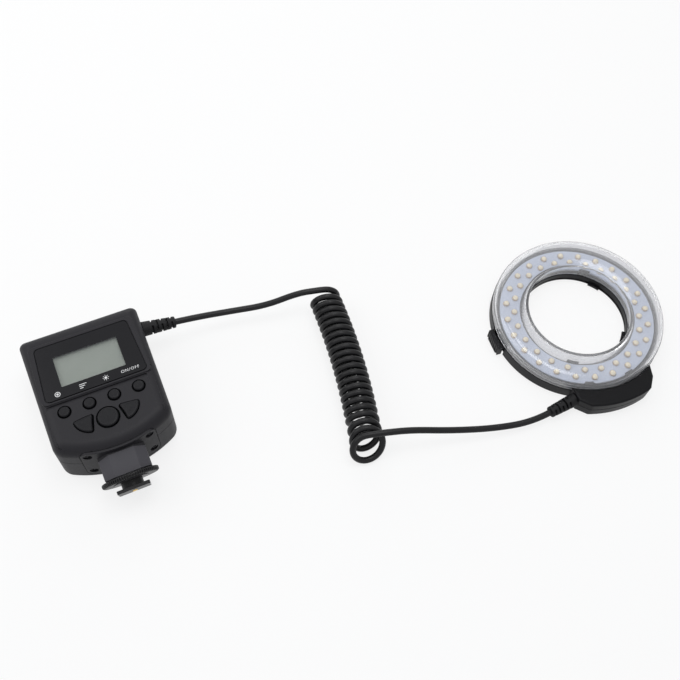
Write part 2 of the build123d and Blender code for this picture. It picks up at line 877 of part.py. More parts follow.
# Front shell of the control box
with BuildPart() as front_shell:
    with BuildSketch(box.offset(box_split)):
        add(box_outline())
    extrude(amount=box_depth - box_split)
    top_wall = front_shell.faces().filter_by(GeomType.PLANE).sort_by(Axis(box.origin, box.y_dir))[-1]
    fillet(top_wall.edges().sort_by(Axis.Z)[-1], box_top_round)
    # The shoulder round the raised face
    with BuildSketch(box.offset(shoulder_level)):
        add(box_outline())
        offset(amount=3)
        add(plateau_outline(), mode=Mode.SUBTRACT)
    extrude(amount=box_depth, mode=Mode.SUBTRACT)
    # Bezel round the display window
    with BuildSketch(box.offset(box_depth - 1)):
        add(trapezoid(bezel_half_top, bezel_half_bottom, bezel_top, bezel_bottom, bezel_corner))
    extrude(amount=1 + bezel_rise)
    # Hollow inside
    with BuildSketch(box.offset(box_split)):
        add(box_outline(box_wall))
        with Locations((0, box_top - box_top_round / 2)):
            Rectangle(3 * box_half_top, box_top_round, mode=Mode.SUBTRACT)
    extrude(amount=face_under - box_split, mode=Mode.SUBTRACT)
    # Seat of the window, the display's opening, the groove and the small hole
    with BuildSketch(box.offset(bezel_level - window_thickness - seat)):
        add(trapezoid(
            window_half_top + seat, window_half_bottom + seat, window_top + seat,
            window_bottom - seat, window_corner + seat,
        ))
    extrude(amount=2 * window_thickness, mode=Mode.SUBTRACT)
    with BuildSketch(box.offset(face_under - 1)):
        Rectangle(display_width + 2 * display_rim, display_height + 2 * display_rim)
    extrude(amount=box_wall + 2, mode=Mode.SUBTRACT)
    with BuildSketch(box.offset(box_depth - groove_depth)):
        with Locations(((groove_left + groove_right) / 2, groove_y)):
            SlotOverall(groove_right - groove_left, groove_width)
    extrude(amount=groove_depth + bezel_rise, mode=Mode.SUBTRACT)
    with BuildSketch(box.offset(box_depth - groove_depth)):
        with Locations(reset_hole):
            Circle(reset_hole_radius)
    extrude(amount=2 * groove_depth, mode=Mode.SUBTRACT)
    # Openings for the buttons
    with BuildSketch(box.offset(face_under - 1)):
        with Locations(*small_key_places):
            Circle(small_key_radius + key_gap)
        with Locations((0, cluster_y)):
            Circle(set_key_radius + key_gap)
        add(arrow_outline(-1, key_gap))
        add(arrow_outline(1, key_gap))
    extrude(amount=box_wall + 2, mode=Mode.SUBTRACT)
    # Posts for the board, bosses for the case screws and the mount's screws
    with BuildSketch(box.offset(pcb_level + pcb_thickness)):
        with Locations(*pcb_post_places):
            Circle(pcb_post_radius)
    extrude(amount=face_under - pcb_level - pcb_thickness)
    with BuildSketch(box.offset(box_split)):
        with Locations(*case_screw_places):
            Circle(case_boss_radius)
    extrude(amount=face_under - box_split)
    with BuildSketch(box.offset(box_split)):
        with Locations(*mount_block_places):
            Rectangle(mount_block_width, mount_block_depth)
    extrude(amount=mount_high - box_split)
    with BuildSketch(box.offset(pcb_level + pcb_thickness)):
        with Locations(*pcb_post_places):
            Circle(ring_screw_radius)
    extrude(amount=pcb_screw_length, mode=Mode.SUBTRACT)
    with BuildSketch(box.offset(box_split)):
        with Locations(*case_screw_places):
            Circle(case_screw_radius)
    extrude(amount=case_boss_top - box_split, mode=Mode.SUBTRACT)
    # Seat of the shoe mount, its screw holes, the strain relief's seat
    with BuildSketch(wall_plane.offset(box_bottom - mount_inner_face)):
        add(mount_outline(seat))
    extrude(amount=through, mode=Mode.SUBTRACT)
    with BuildSketch(wall_plane.offset(box_bottom - mount_inner_face)):
        with Locations(*mount_screw_places):
            Circle(mount_screw_radius)
    extrude(amount=-mount_screw_hole, mode=Mode.SUBTRACT)
    add(boot_room(relief_axis, box_side, box_wall, relief_root_radius), mode=Mode.SUBTRACT)
save(front_shell.part, "front_shell")

# Battery bay sizes
bay_half_width = (cell_count - 1) / 2 * cell_pitch + cell_radius + 0.8
bay_half_length = (cell_length + cell_nub_length) / 2 + bay_end_gap
bay_low = door_inset + door_thickness
cell_level = bay_low + 0.2 + cell_radius
bay_high = cell_level + cell_radius + 0.6
tongue_low = bay_low - door_tongue_thickness

# Rear shell of the control box
with BuildPart() as rear_block:
    with BuildSketch(box):
        add(box_outline())
    extrude(amount=box_split)
    fillet(
        rear_block.faces().sort_by(Axis.Z)[0].edges(), box_back_round
    )
with BuildPart() as rear_shell:
    add(rear_block.part)
    # Trays above the battery bay and beside it
    with BuildSketch(box.offset(bay_high + bay_wall)):
        add(box_outline(box_wall))
    extrude(amount=box_split, mode=Mode.SUBTRACT)
    with BuildSketch(box.offset(box_wall)):
        add(box_outline(box_wall + 1))
        with Locations((0, 0)):
            Rectangle(
                3 * box_half_top, 2 * (bay_half_length + bay_wall), mode=Mode.SUBTRACT
            )
        with Locations((0, box_top)):
            Rectangle(3 * box_half_top, 2 * (box_top - bay_half_length), mode=Mode.SUBTRACT)
    extrude(amount=box_split, mode=Mode.SUBTRACT)
    # Battery bay, its opening, the door's bed and the grooves of its tongues
    with BuildSketch(box.offset(bay_low)):
        Rectangle(2 * bay_half_width, 2 * bay_half_length)
    extrude(amount=bay_high - bay_low, mode=Mode.SUBTRACT)
    with BuildSketch(box):
        with Locations((0, (door_lower_end + 2 * box_top) / 2)):
            Rectangle(
                2 * (door_half_width + slip), 2 * box_top - door_lower_end + 2 * slip
            )
    extrude(amount=bay_low, mode=Mode.SUBTRACT)
    with BuildSketch(box.offset(tongue_low - slip)):
        with Locations((0, (door_lower_end + 2 * box_top) / 2)):
            Rectangle(
                2 * (door_half_width + door_tongue + slip),
                2 * box_top - door_lower_end + 2 * slip,
            )
    extrude(amount=bay_low - tongue_low + slip, mode=Mode.SUBTRACT)
    # Bosses for the case screws and for the mount's screws
    with BuildSketch(box.offset(box_wall)):
        with Locations(*case_screw_places):
            Circle(case_boss_radius)
    extrude(amount=box_split - box_wall)
    with BuildSketch(box.offset(box_wall)):
        with Locations(*mount_block_places):
            Rectangle(mount_block_width, mount_block_depth)
    extrude(amount=box_split - box_wall)
    with BuildSketch(box):
        with Locations(*case_screw_places):
            Circle(case_screw_radius + screw_clear)
    extrude(amount=box_split, mode=Mode.SUBTRACT)
    with BuildSketch(box):
        with Locations(*case_screw_places):
            Circle(case_screw_head_radius + screw_clear)
    extrude(amount=case_screw_sink, mode=Mode.SUBTRACT)
    with BuildSketch(wall_plane.offset(box_bottom - mount_inner_face)):
        add(mount_outline(seat))
    extrude(amount=through, mode=Mode.SUBTRACT)
    with BuildSketch(wall_plane.offset(box_bottom - mount_inner_face)):
        with Locations(*mount_screw_places):
            Circle(mount_screw_radius)
    extrude(amount=-mount_screw_hole, mode=Mode.SUBTRACT)
    add(boot_room(relief_axis, box_side, box_wall, relief_root_radius), mode=Mode.SUBTRACT)
save(rear_shell.part, "rear_shell")

# Battery door: a slice of the rear shell's own form, so that its edge is round too
with BuildPart() as battery_door:
    add(rear_block.part)
    with BuildSketch(box):
        with Locations((0, (door_lower_end + 2 * box_top) / 2)):
            Rectangle(2 * door_half_width, 2 * box_top - door_lower_end)
    extrude(amount=bay_low - slip, mode=Mode.INTERSECT)
    with BuildSketch(box):
        add(box_outline())
        offset(amount=5)
    extrude(amount=door_inset, mode=Mode.SUBTRACT)
    with BuildSketch(box.offset(tongue_low)):
        with Locations((0, (door_lower_end + door_tongue_end) / 2)):
            Rectangle(
                2 * (door_half_width + door_tongue), door_tongue_end - door_lower_end
            )
    extrude(amount=door_tongue_thickness - slip)
    with BuildSketch(box.offset(door_inset)):
        with GridLocations(0, door_rib_pitch, 1, door_rib_count):
            SlotOverall(door_rib_length, door_rib_width)
    extrude(amount=door_rib_depth, mode=Mode.SUBTRACT)
save(battery_door.part, "battery_door")

# Battery cells, side by side with their ends turned about
cell_places = [(k - (cell_count - 1) / 2) * cell_pitch for k in range(cell_count)]


def end_plane(place, side):
    """The plane across one cell's middle, facing along the cell to one side."""
    return Plane(
        origin=box.from_local_coords(Vector(place, 0, cell_level)),
        x_dir=box.x_dir,
        z_dir=box.y_dir * side,
    )


cell_half = (cell_length + cell_nub_length) / 2
with BuildPart() as cells:
    for k, place in enumerate(cell_places):
        nub_end = end_plane(place, 1 if k % 2 == 0 else -1)
        with BuildSketch(nub_end.offset(-cell_half)):
            Circle(cell_radius)
        extrude(amount=cell_length)
        with BuildSketch(nub_end.offset(-cell_half)):
            Circle(cell_nub_radius)
        extrude(amount=2 * cell_half)
save(cells.part, "battery_cells")

# Battery contacts: a flat plate at each nub and a plate with a cone at each flat end
contact_half = bay_half_length - 0.02
cone_height = contact_half - contact_thickness - cell_half - 0.05
with BuildPart() as contacts:
    for k, place in enumerate(cell_places):
        nub_side = 1 if k % 2 == 0 else -1
        for side in (-1, 1):
            with BuildSketch(end_plane(place, side).offset(contact_half - contact_thickness)):
                RectangleRounded(contact_plate, contact_plate, contact_corner)
            extrude(amount=contact_thickness)
            with BuildSketch(end_plane(place, side).offset(contact_half - contact_thickness)):
                Circle(contact_cone_radius if side != nub_side else contact_dome_radius)
            extrude(amount=-cone_height, taper=20)
save(contacts.part, "battery_contacts")

# Case screws
with BuildPart() as case_screws:
    with BuildSketch(box.offset(case_screw_sink - case_screw_head_height)):
        with Locations(*case_screw_places):
            Circle(case_screw_head_radius)
    extrude(amount=case_screw_head_height)
    with BuildSketch(box.offset(case_screw_sink)):
        with Locations(*case_screw_places):
            Circle(case_screw_radius)
    extrude(amount=case_boss_top - 1 - case_screw_sink)
save(case_screws.part, "case_screws")

# Display window
with BuildPart() as window:
    with BuildSketch(box.offset(bezel_level - window_thickness)):
        add(trapezoid(
            window_half_top, window_half_bottom, window_top, window_bottom, window_corner
        ))
    extrude(amount=window_thickness)
save(window.part, "display_window")

# Main board and what stands on it
pcb_top_level = pcb_level + pcb_thickness
with BuildPart() as main_board:
    with BuildSketch(box.offset(pcb_level)):
        with Locations((0, (pcb_top + pcb_bottom) / 2)):
            RectangleRounded(2 * pcb_half_width, pcb_top - pcb_bottom, 1.5)
        with Locations(*pcb_post_places):
            Circle(ring_screw_radius + screw_clear, mode=Mode.SUBTRACT)
    extrude(amount=pcb_thickness)
save(main_board.part, "main_board")

with BuildPart() as board_screws:
    with BuildSketch(box.offset(pcb_level - ring_screw_head_height)):
        with Locations(*pcb_post_places):
            Circle(ring_screw_head_radius)
    extrude(amount=ring_screw_head_height)
    with BuildSketch(box.offset(pcb_level)):
        with Locations(*pcb_post_places):
            Circle(ring_screw_radius)
    extrude(amount=pcb_thickness + pcb_screw_length - 1)
save(board_screws.part, "board_screws")

with BuildPart() as lcd:
    with BuildSketch(box.offset(pcb_top_level)):
        Rectangle(lcd_width, lcd_height)
    extrude(amount=face_under - slip - pcb_top_level)
    with BuildSketch(box.offset(face_under - slip)):
        Rectangle(display_width + display_rim, display_height + display_rim)
    extrude(amount=lcd_face_rise)
save(lcd.part, "lcd_module")

with BuildPart() as switches:
    with BuildSketch(box.offset(pcb_top_level)):
        with Locations(*switch_places):
            Rectangle(switch_size, switch_size)
    extrude(amount=switch_body_height)
    with BuildSketch(box.offset(pcb_top_level + switch_body_height)):
        with Locations(*switch_places):
            Circle(switch_plunger_radius)
    extrude(amount=switch_plunger_top - pcb_top_level - switch_body_height)
save(switches.part, "key_switches")

# Buttons: a cap in its opening, a flange behind the face, a stem over its switch
key_top = box_depth + key_rise
flange_top = face_under - slip
stem_low = switch_plunger_top + key_travel + slip


def round_button(name, radius, place):
    """A round button with a domed cap."""
    with BuildPart() as button:
        with BuildSketch(box.offset(flange_top - key_flange_thickness)):
            with Locations(place):
                Circle(radius + key_flange)
        extrude(amount=key_flange_thickness)
        with BuildSketch(box.offset(flange_top)):
            with Locations(place):
                Circle(radius)
        extrude(amount=key_top - flange_top)
        fillet(button.faces().sort_by(Axis.Z)[-1].edges(), key_dome)
        with BuildSketch(box.offset(stem_low)):
            with Locations(place):
                Circle(key_stem_radius)
        extrude(amount=flange_top - key_flange_thickness - stem_low)
    save(button.part, name)


def arrow_button(name, side):
    """An arrow button with rounded edges."""
    with BuildPart() as button:
        with BuildSketch(box.offset(flange_top - key_flange_thickness)):
            add(arrow_outline(side, key_flange - slip))
        extrude(amount=key_flange_thickness)
        with BuildSketch(box.offset(flange_top)):
            add(arrow_outline(side))
        extrude(amount=key_top - flange_top)
        fillet(button.faces().sort_by(Axis.Z)[-1].edges(), key_dome / 2)
        with BuildSketch(box.offset(stem_low)):
            with Locations((side * arrow_x, cluster_y)):
                Circle(key_stem_radius)
        extrude(amount=flange_top - key_flange_thickness - stem_low)
    save(button.part, name)


for key_name, key_place in zip(small_key_names, small_key_places):
    round_button(key_name, small_key_radius, key_place)
round_button("set_button", set_key_radius, (0, cluster_y))
arrow_button("left_button", -1)
arrow_button("right_button", 1)

# Shoe axis: leaves the bottom wall and leans back towards the surface
shoe = Plane(
    origin=box.from_local_coords(Vector(0, column_y, column_z)),
    x_dir=box.x_dir,
    z_dir=-box.y_dir * cos(radians(column_lean)) - box.z_dir * sin(radians(column_lean)),
)
wheel_start = column_length + wheel_gap
wheel_end = wheel_start + wheel_thickness
washer_start = wheel_end - washer_recess + slip / 3
washer_end = washer_start + washer_thickness
foot_start = washer_end + foot_gap
foot_end = foot_start + foot_thickness


def column_section():
    """The column's eight-sided section."""
    a = column_half_width
    b = column_flat_half_width
    c = column_half_depth
    d = column_side_half_depth
    with BuildSketch(Plane.XY) as outline:
        with BuildLine():
            Polyline(
                (-a, d), (-b, c), (b, c), (a, d), (a, -d), (b, -c), (-b, -c), (-a, -d),
                close=True,
            )
        make_face()
    return outline.sketch_local


# Shoe mount: the plate in the bottom wall, moulded in one with the column
with BuildPart() as shoe_mount:
    with BuildSketch(wall_plane.offset(box_bottom - mount_inner_face)):
        add(mount_outline())
    extrude(amount=mount_inner_face - box_bottom)
    with BuildSketch(box):
        add(box_outline())
    extrude(amount=box_depth, mode=Mode.INTERSECT)
    with BuildSketch(shoe.offset(-7)):
        add(column_section())
    extrude(amount=column_length + 7)
    with BuildSketch(wall_plane.offset(box_bottom - mount_inner_face)):
        Rectangle(4 * box_half_top, 4 * box_half_top)
    extrude(amount=-2 * through, mode=Mode.SUBTRACT)
    with BuildSketch(shoe.offset(stem_start - 3)):
        Circle(stem_radius + seat)
    extrude(amount=column_length, mode=Mode.SUBTRACT)
    with BuildSketch(wall_plane.offset(box_bottom - mount_inner_face)):
        with Locations(*mount_screw_places):
            Circle(mount_screw_radius + screw_clear)
    extrude(amount=through, mode=Mode.SUBTRACT)
    with BuildSketch(wall_plane.offset(box_bottom - mount_inner_face + mount_screw_sink)):
        with Locations(*mount_screw_places):
            Circle(mount_screw_head_radius + screw_clear)
    extrude(amount=through, mode=Mode.SUBTRACT)
save(shoe_mount.part, "shoe_mount")

with BuildPart() as mount_screws:
    with BuildSketch(wall_plane.offset(box_bottom - mount_inner_face + mount_screw_sink)):
        with Locations(*mount_screw_places):
            Circle(mount_screw_head_radius)
    extrude(amount=mount_screw_head_height)
    with BuildSketch(wall_plane.offset(box_bottom - mount_inner_face + mount_screw_sink)):
        with Locations(*mount_screw_places):
            Circle(mount_screw_radius)
    extrude(amount=-mount_screw_length)
save(mount_screws.part, "mount_screws")

# Shoe foot: a threaded stem with the foot plate, which slides into a camera's shoe
with BuildPart() as shoe_foot:
    with BuildSketch(shoe.offset(stem_start)):
        Circle(stem_radius)
    extrude(amount=foot_start - stem_start)
    with BuildSketch(shoe.offset(foot_start)):
        RectangleRounded(foot_width, foot_depth, foot_corner)
    extrude(amount=foot_thickness)
    with BuildSketch(shoe.offset(stem_start)):
        Circle(contact_radius + contact_flange + slip)
    extrude(amount=foot_end - stem_start - foot_thickness / 2, mode=Mode.SUBTRACT)
    with BuildSketch(shoe.offset(foot_start)):
        Circle(contact_radius + slip)
    extrude(amount=foot_thickness, mode=Mode.SUBTRACT)
    with BuildSketch(shoe.offset(foot_start)):
        with Locations((foot_width / 2, 0), (-foot_width / 2, 0)):
            Rectangle(2 * ground_strip_thickness, foot_depth - 2 * ground_strip_margin)
    extrude(amount=foot_thickness, mode=Mode.SUBTRACT)
save(shoe_foot.part, "shoe_foot")

# Ground strips along both edges of the foot
with BuildPart() as ground_strips:
    with BuildSketch(shoe.offset(foot_start)):
        for side in (-1, 1):
            with Locations((side * (foot_width / 2 - ground_strip_thickness / 2), 0)):
                Rectangle(
                    ground_strip_thickness, foot_depth - 2 * ground_strip_margin - 2 * seat
                )
    extrude(amount=foot_thickness)
save(ground_strips.part, "ground_strips")

# Centre contact, sprung, standing out of the foot's underside
with BuildPart() as centre_contact:
    with BuildSketch(shoe.offset(foot_start - 3)):
        Circle(contact_radius + contact_flange)
    extrude(amount=foot_thickness / 2 + 3 - slip)
    with BuildSketch(shoe.offset(foot_start)):
        Circle(contact_radius)
    extrude(amount=foot_thickness + contact_travel)
    fillet(centre_contact.edges().filter_by(GeomType.CIRCLE).sort_by(Axis(shoe.origin, shoe.z_dir))[-1], 0.5)
save(centre_contact.part, "centre_contact")

# Lock wheel
with BuildPart() as lock_wheel:
    with BuildSketch(shoe.offset(wheel_start)):
        Circle(wheel_radius)
        Circle(stem_radius + slip, mode=Mode.SUBTRACT)
    extrude(amount=wheel_thickness)
    chamfer(
        lock_wheel.edges().filter_by(GeomType.CIRCLE).filter_by(
            lambda edge: abs(edge.radius - wheel_radius) < 0.01
        ),
        wheel_chamfer,
    )
    with BuildSketch(shoe.offset(wheel_start)):
        with PolarLocations(wheel_radius + wheel_notch_step, wheel_notch_count):
            RegularPolygon(wheel_notch_depth, 4, rotation=0)
    extrude(amount=wheel_thickness, mode=Mode.SUBTRACT)
    with BuildSketch(shoe.offset(wheel_end - washer_recess)):
        Circle(washer_radius + slip)
    extrude(amount=washer_recess, mode=Mode.SUBTRACT)
save(lock_wheel.part, "lock_wheel")

# Clamping washer under the wheel
with BuildPart() as washer:
    with BuildSketch(shoe.offset(washer_start)):
        Circle(washer_radius)
        Circle(stem_radius + slip, mode=Mode.SUBTRACT)
    extrude(amount=washer_thickness)
save(washer.part, "clamp_washer")

slotted_boot(
    "strain_relief", relief_axis, box_side, box_wall, relief_length, relief_root_radius,
    relief_end_radius, relief_slots,
)

# Cord: the coil's middle line
coil_height = coil_radius + cord_diameter / 2 + coil_floor_gap
coil_along = (Vector(*coil_end) - Vector(*coil_start)).normalized()
coil_across = Vector(-coil_along.Y, coil_along.X)
coil_pitch = ((Vector(*coil_end) - Vector(*coil_start)).length - coil_first_step) / coil_turns


def eased(share):
    """Goes from 0 to 1 as share does, and starts and ends gently."""
    inside = min(max(share, 0.0), 1.0)
    return inside * inside * (3 - 2 * inside)


def coil_point(turn):
    """A point of the coil, counted in turns from the top of its far end.

    It winds clockwise as it comes nearer. Its last turns lean forward at the bottom.
    """
    angle = pi / 2 - 2 * pi * turn
    lean = coil_end_lean * eased(1 - (coil_turns - turn) / coil_lean_turns)
    spread = coil_end_spread * eased(1 - abs(coil_turns - 0.5 - turn))
    middle = coil_pitch * turn + coil_first_step * eased(turn)
    share = middle / (coil_pitch * coil_turns + coil_first_step)
    along = middle + lean * (1 - sin(angle))
    across = (coil_radius + spread) * cos(angle) + coil_bow * 4 * share * (1 - share)
    level = coil_height + coil_radius * sin(angle)
    return Vector(*coil_start) + coil_along * along + coil_across * across + Vector(0, 0, level)


def coil_direction(turn):
    """The way the coil runs there."""
    step = 1e-4
    before = max(turn - step, 0.0)
    after = min(turn + step, float(coil_turns))
    way = (coil_point(after) - coil_point(before)).normalized()
    if turn in (0, coil_turns):
        way = Vector(way.X, way.Y, 0).normalized()
    return way


def two_arcs(start, start_way, end, end_way):
    """Two arcs that meet smoothly and leave both ends along the given directions."""
    gap = start - end
    lean = start_way.dot(end_way) - 1
    slope = gap.dot(start_way + end_way)
    reach = (-slope - sqrt(slope**2 - 2 * lean * gap.dot(gap))) / (2 * lean)
    near = start + start_way * reach
    far = end - end_way * reach
    TangentArc(start, (near + far) * 0.5, tangent=start_way)
    TangentArc((near + far) * 0.5, end, tangent=(far - near).normalized())


coil_lead = cord_diameter
coil_in = coil_point(0) - coil_direction(0) * coil_lead
coil_out = coil_point(coil_turns) + coil_direction(coil_turns) * coil_lead

with BuildPart() as cord_coil:
    with BuildLine() as coil_line:
        Line(coil_in, coil_point(0))
        for half in range(2 * coil_turns):
            two_arcs(
                coil_point(half / 2), coil_direction(half / 2),
                coil_point((half + 1) / 2), coil_direction((half + 1) / 2),
            )
        Line(coil_point(coil_turns), coil_out)
    with BuildSketch(Plane(origin=coil_in, x_dir=(0, 0, 1), z_dir=coil_direction(0))):
        RegularPolygon(cord_diameter / 2, coil_sides, rotation=180 / coil_sides)
    sweep()
save(cord_coil.part, "cord_coil")

# The least gap from one turn of the coil to the others, measured on points
coil_samples = [coil_point(k / 48) for k in range(48 * coil_turns + 1)]
least = min(
    (a - b).length
    for k, a in enumerate(coil_samples)
    for b in coil_samples[k + 24 : k + 73]
)
print(f"coil: {coil_turns} turns, pitch {coil_pitch:.2f}, least gap {least - cord_diameter:.2f} mm")
coil_length = sum(edge.length for edge in coil_line.edges())
coil_section = coil_sides / 2 * (cord_diameter / 2) ** 2 * sin(2 * pi / coil_sides)
print(f"coil: length {coil_length:.0f} mm, volume", end=" ")
print(f"{cord_coil.part.volume / coil_length / coil_section:.4f} of its section times its length")


def cord_stretch(name, points):
    """A tube along straight runs joined by arcs as large as the runs allow."""
    radii = []
    for before, corner, after in zip(points, points[1:], points[2:]):
        turn = (corner - before).get_angle(after - corner)
        run = min((corner - before).length, (after - corner).length)
        radii.append(0.45 * run / tan(radians(turn / 2)))
    with BuildPart() as stretch:
        with BuildLine() as line:
            FilletPolyline(*points, radius=radii)
        with BuildSketch(Plane(origin=points[0], z_dir=points[1] - points[0])):
            Circle(cord_diameter / 2)
        sweep()
    save(stretch.part, name)
    length = sum(edge.length for edge in line.edges())
    full = pi * cord_diameter**2 / 4 * length
    print(f"{name}: length {length:.1f} mm, volume {stretch.part.volume / full:.4f} of")
    print("  its section times its length, radii", [round(radius, 1) for radius in radii])


relief_end = relief_axis.origin + relief_axis.z_dir * relief_length
relief_points = [
    relief_end,
    relief_end + relief_axis.z_dir * 13,
    Vector(-207.0, 67.1, 12.4),
    Vector(-186.0, 65.8, 13.4),
    coil_in - coil_direction(0) * 13,
    coil_in,
]
cord_stretch("cord_from_box", relief_points)
boot_end = boot_axis.origin + boot_axis.z_dir * ring_boot_length
ring_points = [
    coil_out,
    coil_out + coil_direction(coil_turns) * 8,
    Vector(-130.5, -44.6, 16.6),
    Vector(-107.0, -50.0, 11.0),
    Vector(-81.0, -55.0, 6.8),
    boot_end + boot_axis.z_dir * 13,
    boot_end,
]
cord_stretch("cord_from_ring", ring_points)
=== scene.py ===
import bmesh
import bpy
import numpy as np
from mathutils import Matrix, Vector


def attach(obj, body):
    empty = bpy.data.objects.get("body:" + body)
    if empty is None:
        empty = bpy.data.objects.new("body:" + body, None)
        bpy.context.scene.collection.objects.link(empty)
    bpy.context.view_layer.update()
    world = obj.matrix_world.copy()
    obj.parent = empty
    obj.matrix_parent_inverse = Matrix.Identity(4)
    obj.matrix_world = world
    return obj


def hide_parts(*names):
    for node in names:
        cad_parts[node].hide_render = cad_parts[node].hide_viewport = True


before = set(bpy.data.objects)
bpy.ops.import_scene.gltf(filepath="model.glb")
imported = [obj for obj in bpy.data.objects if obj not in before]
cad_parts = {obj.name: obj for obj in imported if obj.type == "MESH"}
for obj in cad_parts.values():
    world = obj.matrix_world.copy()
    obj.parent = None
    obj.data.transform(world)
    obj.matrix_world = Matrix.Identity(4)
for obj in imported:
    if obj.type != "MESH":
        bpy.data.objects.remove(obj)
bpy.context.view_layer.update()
mm = 0.001

# Studio: a pale tabletop that runs on without an edge, soft light from a white room and
# three large panels, and a camera above the near side that looks down on the object.


class Number:
    """One number socket of a node. Sums with it add Math nodes to its finish."""

    def __init__(self, finish, socket):
        self.finish = finish
        self.socket = socket

    def math(self, operation, *values):
        inputs = dict(enumerate(values))
        return self.finish.node("ShaderNodeMath", {"operation": operation}, inputs)

    def __add__(self, other):
        return self.math("ADD", self, other)

    def __radd__(self, other):
        return self.math("ADD", other, self)

    def __sub__(self, other):
        return self.math("SUBTRACT", self, other)

    def __rsub__(self, other):
        return self.math("SUBTRACT", other, self)

    def __mul__(self, other):
        return self.math("MULTIPLY", self, other)

    def __rmul__(self, other):
        return self.math("MULTIPLY", other, self)

    def __truediv__(self, other):
        return self.math("DIVIDE", self, other)

    def __rtruediv__(self, other):
        return self.math("DIVIDE", other, self)

    def between(self, low, high):
        """0 below low and 1 above high, with a smooth step from one to the other."""
        return self.finish.node(
            "ShaderNodeMapRange",
            {"interpolation_type": "SMOOTHSTEP"},
            {"Value": self, "From Min": low, "From Max": high},
        )


class Finish:
    """A material whose nodes are added one call at a time behind one Principled shader."""

    def __init__(self, name, colour=(0.5, 0.5, 0.5), **sockets):
        self.material = bpy.data.materials.new(name)
        self.material.use_nodes = True
        self.tree = self.material.node_tree
        self.shader = self.tree.nodes["Principled BSDF"]
        self.put(self.shader, {"Base Color": colour})
        self.put(self.shader, {key.replace("_", " "): sockets[key] for key in sockets})

    def put(self, node, inputs):
        """Gives a node's sockets their values or links."""
        for key, value in inputs.items():
            socket = node.inputs[key]
            if isinstance(value, Number):
                self.tree.links.new(value.socket, socket)
            elif isinstance(value, tuple) and len(value) == 3 and socket.type == "RGBA":
                socket.default_value = (*value, 1.0)
            else:
                socket.default_value = value

    def node(self, kind, settings=None, inputs=None, output=0):
        """Adds a node of this type: its settings, then its sockets; gives one output."""
        made = self.tree.nodes.new(kind)
        for key, value in (settings or {}).items():
            setattr(made, key, value)
        self.put(made, inputs or {})
        return Number(self, made.outputs[output])

    def place(self):
        """The point on the piece in its own coordinates, in metres."""
        return self.node("ShaderNodeTexCoord", output="Object")

    def noise(self, grain, detail=3.0, place=None):
        """Cloudy variation from 0 to 1, whose patches are about grain metres wide."""
        inputs = {"Vector": place or self.place(), "Scale": 1.0 / grain, "Detail": detail}
        return self.node("ShaderNodeTexNoise", None, inputs)

    def mix(self, share, first, second):
        """One colour turning into another as share goes from 0 to 1."""
        settings = {"data_type": "RGBA"}
        return self.node("ShaderNodeMix", settings, {0: share, 6: first, 7: second}, 2)

    def clouded(self, grain, first, second, detail=3.0):
        """Lets the base colour wander between two colours, in patches this wide."""
        patches = self.noise(grain, detail)
        self.put(self.shader, {"Base Color": self.mix(patches, first, second)})
        return patches

    def relief(self, height, depth):
        """Lets light fall on the surface as if height, from 0 to 1, were this deep."""
        bump = self.node("ShaderNodeBump", None, {"Height": height, "Distance": depth})
        self.put(self.shader, {"Normal": bump})

    def ray(self, *kinds):
        """1 for light paths of these kinds and 0 for others."""
        rays = [self.node("ShaderNodeLightPath", output=f"Is {kind} Ray") for kind in kinds]
        total = sum(rays[1:], rays[0])
        return total.math("MINIMUM", total, 1.0)

    def blend(self, kind, share):
        """Mixes a shader of this type over the Principled one, as far as share goes."""
        mixer = self.tree.nodes.new("ShaderNodeMixShader")
        self.put(mixer, {0: share})
        other = self.tree.nodes.new(kind)
        self.tree.links.new(self.shader.outputs[0], mixer.inputs[1])
        self.tree.links.new(other.outputs[0], mixer.inputs[2])
        surface_socket = self.tree.nodes["Material Output"].inputs["Surface"]
        self.tree.links.new(mixer.outputs[0], surface_socket)


def add_piece(name, mesh, finish, body=None, smooth_angle=40.0):
    """Puts a mesh into the scene as a piece with this finish, riding on a body."""
    piece = bpy.data.objects.new(name, mesh)
    bpy.context.scene.collection.objects.link(piece)
    mesh.materials.clear()
    mesh.materials.append(finish.material)
    mesh.shade_smooth()
    mesh.set_sharp_from_angle(angle=np.radians(smooth_angle))
    if body:
        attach(piece, body)
    return piece


def grid_faces(rows, columns, wrap_rows=False, wrap_columns=False):
    """Quads between neighbours of a grid of points, numbered row by row."""
    row = np.arange(rows if wrap_rows else rows - 1)[:, None]
    column = np.arange(columns if wrap_columns else columns - 1)[None, :]
    below, beside = (row + 1) % rows, (column + 1) % columns
    quads = [row * columns + column, row * columns + beside]
    quads += [below * columns + beside, below * columns + column]
    return np.stack(np.broadcast_arrays(*quads), axis=-1).reshape(-1, 4)


def surface(name, points, wrap_rows=False, wrap_columns=False):
    """A mesh from one grid of points, or from a stack of equal grids, seams closed."""
    grids = points.reshape(-1, *points.shape[-3:])
    count, rows, columns = grids.shape[:3]
    first_points = np.arange(count)[:, None, None] * rows * columns
    faces = grid_faces(rows, columns, wrap_rows, wrap_columns) + first_points
    mesh = bpy.data.meshes.new(name)
    mesh.from_pydata(grids.reshape(-1, 3).tolist(), [], faces.reshape(-1, 4).tolist())
    shape = bmesh.new()
    shape.from_mesh(mesh)
    bmesh.ops.remove_doubles(shape, verts=shape.verts, dist=1e-7)
    bmesh.ops.dissolve_degenerate(shape, edges=shape.edges, dist=1e-8)
    bmesh.ops.recalc_face_normals(shape, faces=shape.faces)
    shape.to_mesh(mesh)
    shape.free()
    return mesh


